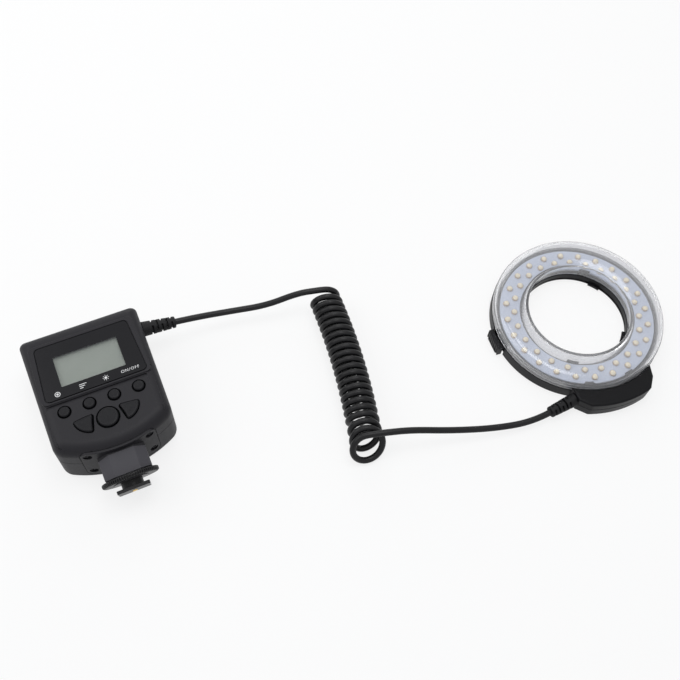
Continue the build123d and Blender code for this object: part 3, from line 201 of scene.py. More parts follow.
tabletop = Finish("tabletop", (0.93, 0.93, 0.93), Roughness=0.8)
tabletop.blend("ShaderNodeEmission", tabletop.ray("Camera", "Glossy", "Transmission") * 0.8)
floor_half, floor_level = 4.0, -0.1 * mm
corner = np.array([-1.0, 1.0]) * floor_half
floor_points = np.stack(np.meshgrid(corner, corner, [floor_level], indexing="ij"), axis=-1)
floor = add_piece("floor", surface("floor", floor_points.reshape(2, 2, 3)), tabletop)

room = bpy.data.worlds.new("room")
bpy.context.scene.world = room
room.use_nodes = True
air = room.node_tree.nodes
light_of_room = air["Background"]
light_of_room.inputs["Color"].default_value = (0.93, 0.96, 1.0, 1.0)
light_of_room.inputs["Strength"].default_value = 0.42
white = air.new("ShaderNodeBackground")
white.inputs["Color"].default_value = (1.0, 1.0, 1.0, 1.0)
kind = air.new("ShaderNodeLightPath")
first, second = air.new("ShaderNodeMath"), air.new("ShaderNodeMath")
first.operation = second.operation = "MAXIMUM"
choice = air.new("ShaderNodeMixShader")
for source, target in [
    (kind.outputs["Is Camera Ray"], first.inputs[0]),
    (kind.outputs["Is Glossy Ray"], first.inputs[1]),
    (first.outputs[0], second.inputs[0]),
    (kind.outputs["Is Transmission Ray"], second.inputs[1]),
    (second.outputs[0], choice.inputs[0]),
    (light_of_room.outputs[0], choice.inputs[1]),
    (white.outputs[0], choice.inputs[2]),
    (choice.outputs[0], air["World Output"].inputs["Surface"]),
]:
    room.node_tree.links.new(source, target)

lit_place = Vector((-0.147, 0.01, 0.0))
for name, offset, width, watts in [
    ("left_panel", (-0.75, 0.35, 0.75), 0.8, 3.2),
    ("top_panel", (0.1, 0.1, 1.1), 0.6, 4.2),
    ("back_panel", (0.2, 1.0, 0.5), 0.7, 2.4),
]:
    panel = bpy.data.lights.new(name, "AREA")
    panel.size = width
    panel.energy = watts
    panel_object = bpy.data.objects.new(name, panel)
    bpy.context.scene.collection.objects.link(panel_object)
    panel_object.location = lit_place + Vector(offset)
    panel_object.rotation_mode = "QUATERNION"
    panel_object.rotation_quaternion = Vector(offset).to_track_quat("Z", "Y")

camera_place = Vector((-255.3, -221.1, 483.1)) * mm
camera_target = Vector((-147.3, 33.4, 0.0)) * mm
camera_roll = np.radians(4.64)
camera_data = bpy.data.cameras.new("camera")
camera_data.lens = 46.73
camera_data.sensor_width = 36.0
camera_data.clip_start = 0.01
camera = bpy.data.objects.new("camera", camera_data)
bpy.context.scene.collection.objects.link(camera)
aim = (camera_target - camera_place).normalized()
horizon = aim.cross(Vector((0, 0, 1))).normalized()
upright = horizon.cross(aim)
view_right = horizon * np.cos(camera_roll) + upright * np.sin(camera_roll)
view_up = view_right.cross(aim)
camera.matrix_world = Matrix.Translation(camera_place) @ Matrix(
    (view_right, view_up, -aim)
).transposed().to_4x4()
bpy.context.scene.camera = camera
bpy.context.scene.view_settings.view_transform = "Standard"

# Cord: one jacketed cable, moulded straight and then wound hot on a rod for its curly
# part. It runs from the control box's boot through 22 turns to the ring's boot.
cord_diameter = 3.9
coil_radius = 8.25
coil_turns = 22
coil_start = np.array([-149.3, 61.0])
coil_end = np.array([-157.2, -40.4])
coil_first_step = 0.9
coil_bow = 3.0
coil_end_lean = 5.6
coil_lean_turns = 4
coil_end_spread = 1.1
coil_floor_gap = 0.1
coil_height = coil_radius + cord_diameter / 2 + coil_floor_gap
points_per_turn = 16
coil_run = coil_end - coil_start
coil_span = np.hypot(*coil_run)
coil_along = coil_run / coil_span
coil_across = np.array([-coil_along[1], coil_along[0]])
coil_pitch = (coil_span - coil_first_step) / coil_turns


def eased(share):
    """Goes from 0 to 1 as share does, and starts and ends gently."""
    inside = np.clip(share, 0.0, 1.0)
    return inside * inside * (3 - 2 * inside)


def coil_points(turn):
    """The coil's middle line: a helix about a bowed axis, counted in turns.

    The last turns lean forward at the bottom, and the very last is a little wider.
    """
    angle = np.pi / 2 - 2 * np.pi * turn
    # a spline of order 3 runs inside its points: at this share of their radius
    inward = 0.75 + 0.25 * np.cos(2 * np.pi / points_per_turn)
    lean = coil_end_lean * eased(1 - (coil_turns - turn) / coil_lean_turns)
    spread = coil_end_spread * eased(1 - np.abs(coil_turns - 0.5 - turn))
    forward = coil_pitch * turn + coil_first_step * eased(turn)
    share = forward / (coil_pitch * coil_turns + coil_first_step)
    along = forward + lean * (1 - np.sin(angle))
    across = (coil_radius + spread) / inward * np.cos(angle)
    across = across + coil_bow * 4 * share * (1 - share)
    level = coil_height + coil_radius / inward * np.sin(angle)
    flat = coil_start + np.outer(along, coil_along) + np.outer(across, coil_across)
    return np.column_stack([flat, level])


box_lead = [
    (-243.1, 66.5, 17.87), (-230.3, 67.2, 15.84), (-207.0, 66.9, 12.4),
    (-186.0, 63.9, 13.4), (-165.97, 63.4, 18.55), (-153.15, 61.64, 18.7),
]
ring_lead = [
    (-153.35, -41.03, 18.7), (-145.45, -42.31, 18.55), (-130.5, -44.6, 16.6),
    (-107.0, -50.0, 11.0), (-81.0, -55.0, 6.8), (-57.08, -57.85, 6.0),
    (-44.3, -55.48, 6.0),
]
turns = np.linspace(0, coil_turns, coil_turns * points_per_turn + 1)
route = np.vstack([box_lead, coil_points(turns), ring_lead]) * mm


def mesh_points(mesh):
    """The points of a mesh, a row for each."""
    points = np.empty(len(mesh.vertices) * 3)
    mesh.vertices.foreach_get("co", points)
    return points.reshape(-1, 3)


def mesh_of(curve):
    """The mesh that a curve or a text gives."""
    shown = bpy.data.objects.new(curve.name, curve)
    bpy.context.scene.collection.objects.link(shown)
    bpy.context.view_layer.update()
    mesh = bpy.data.meshes.new_from_object(shown)
    bpy.data.objects.remove(shown)
    return mesh


line = bpy.data.curves.new("cord_route", "CURVE")
line.dimensions = "3D"
line.resolution_u = 12
spline = line.splines.new("NURBS")
spline.points.add(len(route) - 1)
spline.points.foreach_set("co", np.column_stack([route, np.ones(len(route))]).ravel())
spline.order_u = 3
spline.use_endpoint_u = True
route_points = mesh_points(mesh_of(line))


def passed_along(points):
    """How far along a line of points each of them lies."""
    return np.append(0, np.cumsum(np.linalg.norm(np.diff(points, axis=0), axis=1)))


def evenly(points, count, endpoint=True):
    """This many points at equal steps along a line of points."""
    passed = passed_along(points)
    wanted = np.linspace(0, passed[-1], count, endpoint=endpoint)
    return np.column_stack([np.interp(wanted, passed, column) for column in points.T])


def tube(name, path, radius, sides, side_way):
    """A round tube: a circle carried along a path, closed flat at both ends.

    Each circle stands across the path, turned so that its first point faces side_way.
    """
    way = np.gradient(path, axis=0)
    way /= np.linalg.norm(way, axis=1)[:, None]
    side = side_way - (way @ side_way)[:, None] * way
    side /= np.linalg.norm(side, axis=1)[:, None]
    over = np.cross(way, side)
    angle = np.linspace(0, 2 * np.pi, sides, endpoint=False)
    ring = side[:, None] * np.cos(angle)[:, None] + over[:, None] * np.sin(angle)[:, None]
    body = path[:, None] + ring * radius
    first = np.repeat(path[:1][None], sides, axis=1)
    last = np.repeat(path[-1:][None], sides, axis=1)
    return surface(name, np.concatenate([first, body, last]), wrap_columns=True)


cord_step, cord_sides = 1.0, 20
route_length = passed_along(route_points)[-1]
cord_path = evenly(route_points, int(route_length / (cord_step * mm)) + 1)


def black_rubber(name, gloss, cloud, roughness, spread, grain, depth):
    """Black rubber: a grained skin, and a faintly uneven shade and roughness."""
    finish = Finish(name, (0.006, 0.006, 0.007), Specular_IOR_Level=gloss)
    patches = finish.clouded(cloud * mm, (0.004, 0.004, 0.005), (0.008, 0.008, 0.009))
    finish.put(finish.shader, {"Roughness": roughness + patches * spread})
    finish.relief(finish.noise(grain * mm, 2.0), depth * mm)
    return finish


jacket = black_rubber(
    "cord_jacket", gloss=0.24, cloud=4.0, roughness=0.3, spread=0.14, grain=0.35, depth=0.01,
)
along_coil = np.append(coil_along, 0.0)
cord_mesh = tube("cord", cord_path, cord_diameter / 2 * mm, cord_sides, along_coil)
cord = add_piece("cord", cord_mesh, jacket, "ring_and_box", smooth_angle=60.0)
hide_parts("cord_from_box", "cord_coil", "cord_from_ring")

# Cord boots: two tapered sleeves of soft rubber, moulded over the cord's ends and held
# by a collar inside each wall. Rows of slots, turned by a quarter each time, let them bend.
rubber = black_rubber(
    "boot_rubber", gloss=0.22, cloud=1.2, roughness=0.48, spread=0.2, grain=0.2, depth=0.015,
)
boot_slots, boot_first_slot, boot_slot_pitch = 5, 0.3, 0.145
boot_half_slot, boot_slot_wall = 0.55, 0.12
boot_bridge, boot_bridge_wall = 0.32, 0.08
boot_edge, boot_core_wall = 0.4, 0.35


def boot(name, origin, way, length, root_radius, end_radius):
    """A slotted sleeve: its radius is a function of the place along it and round it.

    The radius falls evenly from root to end. Each slot takes it down to the core all
    round but for two bridges, which change sides from one slot to the next. The slots'
    places are shares of the length, and the bridges' width is a share of the radius.
    """
    along = np.concatenate([[0.0], np.linspace(0.0, length, 240), [length]])
    angle = np.linspace(0, 2 * np.pi, 96, endpoint=False)
    first, pitch = boot_first_slot * length, boot_slot_pitch * length
    row = np.clip(np.round((along - first) / pitch), 0, boot_slots - 1)
    from_slot = np.abs(along - first - row * pitch)
    deep = eased((boot_half_slot - from_slot) / boot_slot_wall + 0.5)
    slot_turn = np.where(row % 2 == 0, 0.0, np.pi / 2)[:, None]
    bridge = np.abs(np.sin(angle[None] - slot_turn))
    open_share = eased((bridge - boot_bridge) / boot_bridge_wall)
    radius = root_radius + (end_radius - root_radius) * along / length
    from_end = np.minimum(along, length - along) / boot_edge
    radius = radius - boot_edge * (1 - np.sqrt(1 - np.clip(1 - from_end, 0, 1) ** 2))
    core = cord_diameter / 2 + boot_core_wall
    radius = radius[:, None] - (radius[:, None] - core) * deep[:, None] * open_share
    radius[[0, -1]] = 0.0
    up = np.array([0.0, 0.0, 1.0])
    side = np.cross(way, up)
    side /= np.linalg.norm(side)
    over = np.cross(side, way)
    spokes = np.cos(angle)[:, None] * over + np.sin(angle)[:, None] * side
    points = origin + along[:, None, None] * way + radius[:, :, None] * spokes
    return surface(name, points * mm, wrap_columns=True)


ring_boot_turn = np.radians(10.5)
ring_boot_way = np.array([-np.cos(ring_boot_turn), -np.sin(ring_boot_turn), 0.0])
ring_boot_sunk = 0.4
ring_boot_root = np.array([-26.6, -52.2, 6.0]) - ring_boot_sunk * ring_boot_way
ring_boot_mesh = boot(
    "ring_boot_rubber", ring_boot_root, ring_boot_way,
    length=18.4, root_radius=4.2, end_radius=3.4,
)
ring_boot = add_piece("ring_boot_rubber", ring_boot_mesh, rubber, "ring_and_box")
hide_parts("ring_boot")

box_turn = np.radians(4.94)
box_right = np.array([np.cos(box_turn), np.sin(box_turn), 0.0])
box_up = np.array([-np.sin(box_turn), np.cos(box_turn), 0.0])
box_out = np.array([0.0, 0.0, 1.0])
box_middle = np.array([-295.9, 44.2, 0.0])


def on_box(points):
    """Points given across, up and out of the control box's face, put in their place."""
    points = np.asarray(points, float)
    axes = np.stack([box_right, box_up, box_out])
    return (box_middle + points @ axes) * mm


relief_turn = np.radians(-1.5)
relief_droop = np.radians(9.0)
relief_way = box_right * np.cos(relief_turn) + box_up * np.sin(relief_turn)
relief_way = relief_way * np.cos(relief_droop) - box_out * np.sin(relief_droop)
relief_sunk = 0.5
relief_root = on_box([34.79, 18.2, 21.0]) / mm - relief_sunk * relief_way
box_boot_mesh = boot(
    "box_boot_rubber", relief_root, relief_way,
    length=20.5, root_radius=4.6, end_radius=3.5,
)
strain_boot = add_piece("box_boot_rubber", box_boot_mesh, rubber, "ring_and_box")
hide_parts("strain_relief")

# Ring housing: a round tray moulded in black ABS with a fine spark-eroded skin, in one
# with the junction box's lower half. A thin plate closes it from behind with four screws.


def moulded(name, colour, roughness, gloss=0.22, cloud=1.5, skin=0.012):
    """Moulded plastic: a fine eroded skin, and a faintly uneven shade and gloss."""
    finish = Finish(name, colour, Specular_IOR_Level=gloss)
    patches = finish.noise(cloud * mm)
    fine = finish.noise(0.16 * mm, 2.0)
    darker = tuple(0.86 * part for part in colour)
    lighter = tuple(1.14 * part for part in colour)
    finish.put(finish.shader, {
        "Base Color": finish.mix(patches * 0.5 + fine * 0.5, darker, lighter),
        "Roughness": roughness - 0.06 + patches * 0.12,
    })
    finish.relief(fine, skin * mm)
    return finish


def merged_mesh(node):
    """A CAD node's loose triangles with their corners merged, as a mesh being edited."""
    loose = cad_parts[node].data
    index = np.empty(len(loose.loops), int)
    loose.loops.foreach_get("vertex_index", index)
    rounded = np.round(mesh_points(loose), 7)  # to a tenth of a micrometre
    merged, which = np.unique(rounded, axis=0, return_inverse=True)
    triangles = which.reshape(-1)[index].reshape(-1, 3)
    mesh = bpy.data.meshes.new(node)
    mesh.from_pydata(merged.tolist(), [], triangles.tolist())
    shape = bmesh.new()
    shape.from_mesh(mesh)
    bmesh.ops.remove_doubles(shape, verts=shape.verts, dist=3e-6)
    bmesh.ops.dissolve_degenerate(shape, edges=shape.edges, dist=1e-6)
    return mesh, shape


def flats_joined(shape):
    """Joins the neighbouring triangles that lie in one plane."""
    bmesh.ops.dissolve_limit(
        shape, angle_limit=np.radians(0.5), verts=shape.verts, edges=shape.edges
    )


def reshaped(mesh, shape, reshape, cuts):
    """Cuts the faces at the planes given as point and normal, then moves the points."""
    for point, normal in cuts:
        whole = shape.verts[:] + shape.edges[:] + shape.faces[:]
        bmesh.ops.bisect_plane(
            shape, geom=whole, dist=1e-7, plane_co=point, plane_no=normal,
        )
    bmesh.ops.triangulate(shape, faces=shape.faces)
    shape.to_mesh(mesh)
    mesh.vertices.foreach_set("co", reshape(mesh_points(mesh)).ravel())
    shape.clear()
    shape.from_mesh(mesh)
    flats_joined(shape)


def eased_copy(
    name, node, finish, body, edge=0.25, reshape=None, cuts=(), sharp=(0, 0),
):
    """A moulded part: the CAD node's own form with its outer edges rounded this much.

    Edges that lie between the two levels in sharp are left as they are.
    """
    mesh, shape = merged_mesh(node)
    flats_joined(shape)
    if reshape:
        reshaped(mesh, shape, reshape, cuts)
    weight = shape.edges.layers.float.new("bevel_weight_edge")
    for line in shape.edges:
        kept = all(sharp[0] * mm < end.co.z < sharp[1] * mm for end in line.verts)
        corner_angle = line.calc_face_angle_signed(0.0)
        line[weight] = float(not kept and corner_angle > np.radians(30))
    shape.to_mesh(mesh)
    shape.free()
    piece = add_piece(name, mesh, finish, body, smooth_angle=30.0)
    bevel = piece.modifiers.new("edges", "BEVEL")
    bevel.width = edge * mm
    bevel.segments = 2
    bevel.limit_method = "WEIGHT"
    bevel.use_clamp_overlap = False
    bevel.harden_normals = True
    even = piece.modifiers.new("normals", "WEIGHTED_NORMAL")
    even.keep_sharp = True
    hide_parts(node)


ring_plastic = moulded("ring_plastic", (0.0055, 0.0055, 0.007), 0.42, gloss=0.18)
corner_x, corner_width = 17.0, 9.0
corner_y, corner_depth = -47.0, 8.0
corner_move = np.array([-1.9, 0.8, 0.0])


def drawn_in(points):
    """Narrows the junction box at its far corner, the more the nearer a point is to it."""
    x, y = points[:, :1] / mm, points[:, 1:2] / mm
    near = eased((x - corner_x) / corner_width) * eased((corner_y - y) / corner_depth)
    return points + near * corner_move * mm


eased_copy(
    "ring_base", "ring_rear_housing", ring_plastic, "ring_and_box",
    reshape=drawn_in,
)
eased_copy(
    "ring_back_plate", "ring_rear_plate", ring_plastic, "ring_and_box",
    edge=0.15,
)

# Release latch: a flat moulded ring with two claws in the bore and a ribbed button outside,
# pushed back by a bowed strip of spring steel between two posts.
eased_copy(
    "latch_and_button", "release_latch", ring_plastic, "release_latch",
    edge=0.15,
)


def metal(name, colour, roughness, grain=0.3):
    """Drawn or plated metal: fine scratches and a cloudy gloss."""
    finish = Finish(name, colour, Metallic=1.0)
    darker = tuple(0.85 * part for part in colour)
    scratches = finish.clouded(grain * mm, darker, colour, 4.0)
    finish.put(finish.shader, {"Roughness": roughness - 0.08 + scratches * 0.16})
    finish.relief(scratches, 0.004 * mm)
    return finish


def finish_node(node, finish):
    """Gives a carried-over CAD node its finish."""
    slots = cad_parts[node].material_slots
    for slot in slots:
        slot.material = finish.material
    if not slots:
        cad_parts[node].data.materials.append(finish.material)


steel = metal("steel", (0.55, 0.55, 0.56), 0.32)
finish_node("latch_spring", steel)

# Screws: blackened steel with cross heads, cold headed, in four sizes of one form. They
# hold the ring's plate, the junction box's lid, the case and the shoe mount.
dark_steel = metal("dark_steel", (0.06, 0.06, 0.065), 0.38, grain=0.15)
head_steps = np.array([0.0, 0.12, 0.24, 0.36, 0.46, 0.54, 0.62, 0.7, 0.8, 0.9, 0.97, 1.0])
head_fall, groove_depth = 0.18, 0.75
groove_half, groove_wall = 0.17, 0.1
groove_reach, groove_run_out = 0.66, 0.15


def screw_rows(places, across, up, out, head_radius, head_height, shank_radius, length):
    """Cross-head screws: circles of points along a profile turned about each axis.

    The profile goes from the head's middle over its rounded edge and down the shank.
    Two grooves that cross in the head's middle lower its face. Their sizes are shares
    of the head's radius, and their depth and the edge's fall are shares of its height.
    """
    top = head_steps * head_radius
    fall = head_fall * head_height * (top / head_radius) ** 4
    radius = np.concatenate([top, [head_radius, shank_radius, shank_radius, 0.0]])
    level = np.concatenate([-fall, [-head_height, -head_height, -length, -length]])
    angle = np.linspace(0, 2 * np.pi, 64, endpoint=False)
    x = radius[:, None] * np.cos(angle)
    y = radius[:, None] * np.sin(angle)
    short = np.minimum(np.abs(x), np.abs(y))
    far = np.maximum(np.abs(x), np.abs(y))
    groove = eased((groove_half * head_radius - short) / (groove_wall * head_radius) + 0.5)
    reach = (groove_reach * head_radius - far) / (groove_run_out * head_radius)
    groove = groove * eased(reach)
    groove[len(top):] = 0.0
    z = level[:, None] - groove_depth * head_height * groove
    shape = x[..., None] * across + y[..., None] * up + z[..., None] * out
    return np.asarray(places)[:, None, None] + shape


def ring_place(radius, angles, level):
    """Points at this radius, these angles in degrees and this level about the bore."""
    turn = np.radians(np.asarray(angles, float))
    return np.column_stack([
        radius * np.cos(turn), radius * np.sin(turn), np.full(len(turn), level),
    ])


def add_screws(name, rows, node):
    """Puts a group of screws in the place of its CAD node."""
    mesh = surface(name, rows * mm, wrap_columns=True)
    piece = add_piece(name, mesh, dark_steel, "ring_and_box", smooth_angle=35.0)
    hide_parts(node)


right, up, out = np.eye(3)
add_screws("ring_plate_screws", screw_rows(
    ring_place(48.4, [35, 138, 222, 325], 0.0), right, -up, -out,
    head_radius=2.0, head_height=0.7, shank_radius=1.0, length=3.4,
), "ring_screws")
add_screws("junction_lid_screws", screw_rows(
    [[-13.0, -59.0, 0.15], [13.0, -59.0, 0.15]], right, -up, -out,
    head_radius=2.0, head_height=0.7, shank_radius=1.0, length=8.0,
), "lid_screws")
add_screws("case_back_screws", screw_rows(
    on_box([[-27.0, -39.5, 1.2], [27.0, -39.5, 1.2]]) / mm, box_right, -box_up, -box_out,
    head_radius=2.4, head_height=1.8, shank_radius=1.3, length=27.0,
), "case_screws")
add_screws("shoe_mount_screws", screw_rows(
    on_box([(x, -51.7, z) for z in (10.0, 28.6) for x in (-17.5, 17.5)]) / mm,
    box_right, box_out, -box_up,
    head_radius=2.2, head_height=1.2, shank_radius=1.2, length=7.7,
), "mount_screws")

# Lamp board: a ring of pale coated circuit board that carries two rows of lamps. It rests
# on two ribs of the tray, clear of the tabs that hold the cover.


def turned(profile, steps):
    """A turned form: a profile of radius and level carried round the axis in steps."""
    profile = np.asarray(profile, float)
    angle = np.linspace(0, 2 * np.pi, steps, endpoint=False)
    x = profile[:, None, 0] * np.cos(angle)
    y = profile[:, None, 0] * np.sin(angle)
    z = np.broadcast_to(profile[:, None, 1], x.shape)
    return np.stack([x, y, z], axis=-1) * mm


board_coat = Finish("board_coat", (0.47, 0.51, 0.60), Specular_IOR_Level=0.3)
board_cloud = board_coat.noise(7.0 * mm)
from_middle = board_coat.node(
    "ShaderNodeVectorMath", {"operation": "LENGTH"}, {0: board_coat.place()}, 1
) / mm
trace_pitch = 2.5
trace = from_middle.math("PINGPONG", from_middle, trace_pitch / 2)
trace_line = trace.between(1.13, 1.2) * board_coat.noise(5.0 * mm, 1.0).between(0.45, 0.5)
board_shade = board_coat.mix(board_cloud, (0.46, 0.51, 0.64), (0.52, 0.575, 0.70))
board_coat.put(board_coat.shader, {
    "Base Color": board_coat.mix(trace_line * 0.3, board_shade, (0.35, 0.40, 0.52)),
    "Roughness": 0.36 + board_cloud * 0.12,
})
board_coat.relief(trace_line, 0.03 * mm)
board_inner, board_outer = 36.4, 49.0
board_under, board_top, board_edge = 8.0, 9.6, 0.1
board_profile = [
    (board_inner, board_under), (board_outer, board_under),
    (board_outer, board_top - board_edge), (board_outer - board_edge, board_top),
    (board_inner + board_edge, board_top), (board_inner, board_top - board_edge),
]
board_mesh = surface("lamp_ring_board", turned(board_profile, 256), True, True)
board = add_piece("lamp_ring_board", board_mesh, board_coat, "ring_and_box")
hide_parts("lamp_board")

# Board clips: two hooks of the tray's black plastic that hold the board's outer edge on
# the side of the junction box, seen through the clear cover.
clip_profile = np.array([
    (49.3, 4.0), (50.7, 4.0), (50.7, 11.0), (50.4, 11.4), (48.5, 11.4), (48.2, 11.0),
    (48.2, 9.75), (49.3, 9.75),
])
clip_middle, clip_half_angle = (49.8, 10.3), 2.9
clip_grids = []
for clip_angle in (-76.2, -107.8):
    turn = np.radians(clip_angle + clip_half_angle * np.array([-1, -1, -0.3, 0.3, 1, 1]))
    section = np.stack([clip_profile] * 6)
    section[0] = section[-1] = clip_middle
    clip_grids.append(np.stack([
        section[..., 0] * np.cos(turn)[:, None], section[..., 0] * np.sin(turn)[:, None],
        section[..., 1],
    ], axis=-1))
clips_mesh = surface("board_clips", np.stack(clip_grids) * mm, wrap_columns=True)
clips = add_piece("board_clips", clips_mesh, ring_plastic, "ring_and_box")

# Lamps: 48 small lamps in two staggered rows, each a cream core under a clear cast dome
# with a low rim, soldered to the board.
lamp_count = 24
lamp_angles = np.arange(lamp_count) * 360.0 / lamp_count
outer_row, outer_row_start = 45.0, 2.5
inner_row, inner_row_start = 40.0, 10.3
outer_lamps = ring_place(outer_row, lamp_angles + outer_row_start, board_top) * mm
inner_lamps = ring_place(inner_row, lamp_angles + inner_row_start, board_top) * mm
dome_turn = np.linspace(0, np.pi / 2, 8)
dome_profile = np.concatenate([
    [(0.0, 0.0), (2.3, 0.0), (2.3, 0.45), (2.2, 0.55)],
    np.column_stack([2.0 * np.cos(dome_turn), 0.8 + 2.0 * np.sin(dome_turn)]),
])
dome_glass = Finish(
    "dome_resin", (0.90, 0.88, 0.84), Roughness=0.12, IOR=1.35, Alpha=0.16,
)
core_profile = [(0.0, 0.02), (1.8, 0.02), (1.85, 0.3), (1.7, 1.2), (1.3, 1.6), (0.0, 1.75)]
phosphor = Finish("lamp_core", (0.88, 0.74, 0.50), Roughness=0.5, Specular_IOR_Level=0.2)
phosphor_cloud = phosphor.noise(0.9 * mm)
phosphor_level = phosphor.node("ShaderNodeSeparateXYZ", None, {0: phosphor.place()}, 2)
phosphor_top = phosphor.mix(phosphor_cloud, (0.86, 0.70, 0.42), (0.95, 0.86, 0.62))
phosphor.put(phosphor.shader, {
    "Base Color": phosphor.mix(
        phosphor_level.between(10.5 * mm, 11.2 * mm), (0.45, 0.29, 0.14), phosphor_top
    ),
})
phosphor.relief(phosphor.noise(0.25 * mm), 0.02 * mm)
for name, places, node in [
    ("outer_lamp", outer_lamps, "outer_lamps"), ("inner_lamp", inner_lamps, "inner_lamps"),
]:
    dome_points = places[:, None, None] + turned(dome_profile, 24)
    domes = surface(name + "_domes", dome_points, wrap_columns=True)
    domes = add_piece(name + "_domes", domes, dome_glass, "ring_and_box")
    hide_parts(node)
    core_points = places[:, None, None] + turned(core_profile, 20)
    cores = surface(name + "_cores", core_points, wrap_columns=True)
    add_piece(name + "_cores", cores, phosphor, "ring_and_box")

# Clear cover: a ring-shaped channel moulded in clear polycarbonate, with a large outer
# edge radius. Its lip stands inside the tray and tabs of the tray hold it.


def arc(middle, radius, start, end, steps):
    """Points of an arc about a middle, between two angles in degrees."""
    angle = np.radians(np.linspace(start, end, steps))
    return middle + radius * np.column_stack([np.cos(angle), np.sin(angle)])


cover_top, cover_wall, cover_edge = 19.2, 1.8, 6.2
cover_outer, cover_base = 53.7, 8.5
cover_foot, foot_inside, foot_low = 33.4, 35.0, 6.5
cover_bore, bore_round = 32.1, 0.8
cover_fall, fall_start, fall_run = 2.3, 43.0, 11.0
lip_outer, lip_inner, lip_low = 52.3, 51.1, 6.0
edge_middle = (cover_outer - cover_edge, cover_top - cover_edge)


def cover_level(radius):
    """The cover's top: flat outside, and towards the bore it falls as a square."""
    return cover_top - cover_fall * (np.clip(fall_start - radius, 0, None) / fall_run) ** 2


top_radius = np.linspace(fall_start, cover_bore + bore_round, 10)
under_radius = np.linspace(cover_bore + cover_wall + 0.6, fall_start, 10)
bore_level = cover_level(cover_bore + bore_round) - bore_round
cover_profile = np.concatenate([
    np.column_stack([top_radius, cover_level(top_radius)]),
    arc((cover_bore + bore_round, bore_level), bore_round, 105, 180, 8),
    [(cover_foot, cover_base + 1.0), (cover_foot, foot_low)],
    [(foot_inside, foot_low), (foot_inside, cover_base + 1.0)],
    arc((cover_bore + cover_wall + 0.5, bore_level - 1.4), 0.5, 180, 105, 5),
    np.column_stack([under_radius, cover_level(under_radius) - cover_wall]),
    arc(edge_middle, cover_edge - cover_wall, 90, 0, 16),
    [(51.9, 10.0), (lip_inner, 10.0), (lip_inner, lip_low), (lip_outer, lip_low)],
    [(lip_outer, cover_base), (cover_outer, cover_base)],
    arc(edge_middle, cover_edge, 0, 90, 24),
])
clear = Finish(
    "clear_polycarbonate", (0.88, 0.88, 0.895), Roughness=0.08, IOR=1.45,
    Transmission_Weight=0.88,
)
clear.blend("ShaderNodeBsdfTransparent", clear.ray("Shadow", "Diffuse"))
cover_mesh = surface("clear_ring_cover", turned(cover_profile, 480), True, True)
cover = add_piece("clear_ring_cover", cover_mesh, clear, "ring_and_box", smooth_angle=50.0)
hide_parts("clear_cover")

# Junction box lid: the upper half of the box where the cord's wires meet the board,
# moulded in the ring's plastic with a flat, bare face.
lid_plastic = moulded("lid_plastic", (0.003, 0.003, 0.004), 0.4, gloss=0.13)
eased_copy(
    "junction_box_lid", "junction_lid", lid_plastic, "ring_and_box",
    edge=0.5, reshape=drawn_in,
)

# Control box: two shells moulded in charcoal ABS that meet halfway up, with a raised face
# and a sliding battery door in the back.
box_plastic = moulded("box_plastic", (0.012, 0.0115, 0.0145), 0.5)
shoulder_level, face_level = 34.4, 36.0
undercut_start, undercut_run, undercut_depth = -20.0, 20.0, 2.4
undercut_way = 0.4 * box_up - box_out


def undercut(points):
    """Lowers the foot of the raised face into a groove, deepest at the box's bottom end.

    The foot's points are those at the shoulder's level with another straight above them.
    """
    flat = (points / mm - box_middle) @ np.stack([box_right, box_up, box_out]).T
    seat = np.round(flat[:, 0], 2) + 1j * np.round(flat[:, 1], 2)
    above = seat[flat[:, 2] > face_level - 0.1]
    foot = (np.abs(flat[:, 2] - shoulder_level) < 0.03) & np.isin(seat, above)
    share = eased((undercut_start - flat[:, 1]) / undercut_run) * foot
    return points + undercut_depth * share[:, None] * undercut_way * mm


seam_levels = (33.5, 34.1)
face_cuts = [(on_box([0.0, y, 0.0]), box_up) for y in (-20.0, -25.0, -30.0, -35.0)]
eased_copy(
    "box_front", "front_shell", box_plastic, "ring_and_box",
    edge=0.3, reshape=undercut, cuts=face_cuts, sharp=seam_levels,
)
eased_copy("box_back", "rear_shell", box_plastic, "ring_and_box")
eased_copy(
    "box_battery_door", "battery_door", box_plastic, "battery_door",
    edge=0.2,
)

# Seam strip: a thin bead of the box's plastic, pressed into the seam of the front shell's
# rounded edge. It runs down one long side, round the bottom end and up the other side.
seam_level, seam_proud, seam_depth = 34.0, 0.02, 0.22
seam_corner, seam_top = -61.27, (32.464, 22.1)
seam_half = np.concatenate([
    arc((0.0, 6.14), 59.04, -90.0, seam_corner, 24)[:-1],
    arc((25.684, -40.724), 5.6, seam_corner, -1.08, 16), [seam_top],
])
seam_path = np.concatenate([seam_half[:0:-1] * [-1, 1], seam_half])
seam_way = np.gradient(seam_path, axis=0)
seam_way /= np.linalg.norm(seam_way, axis=1)[:, None]
seam_outward = np.column_stack([seam_way[:, 1], -seam_way[:, 0]])
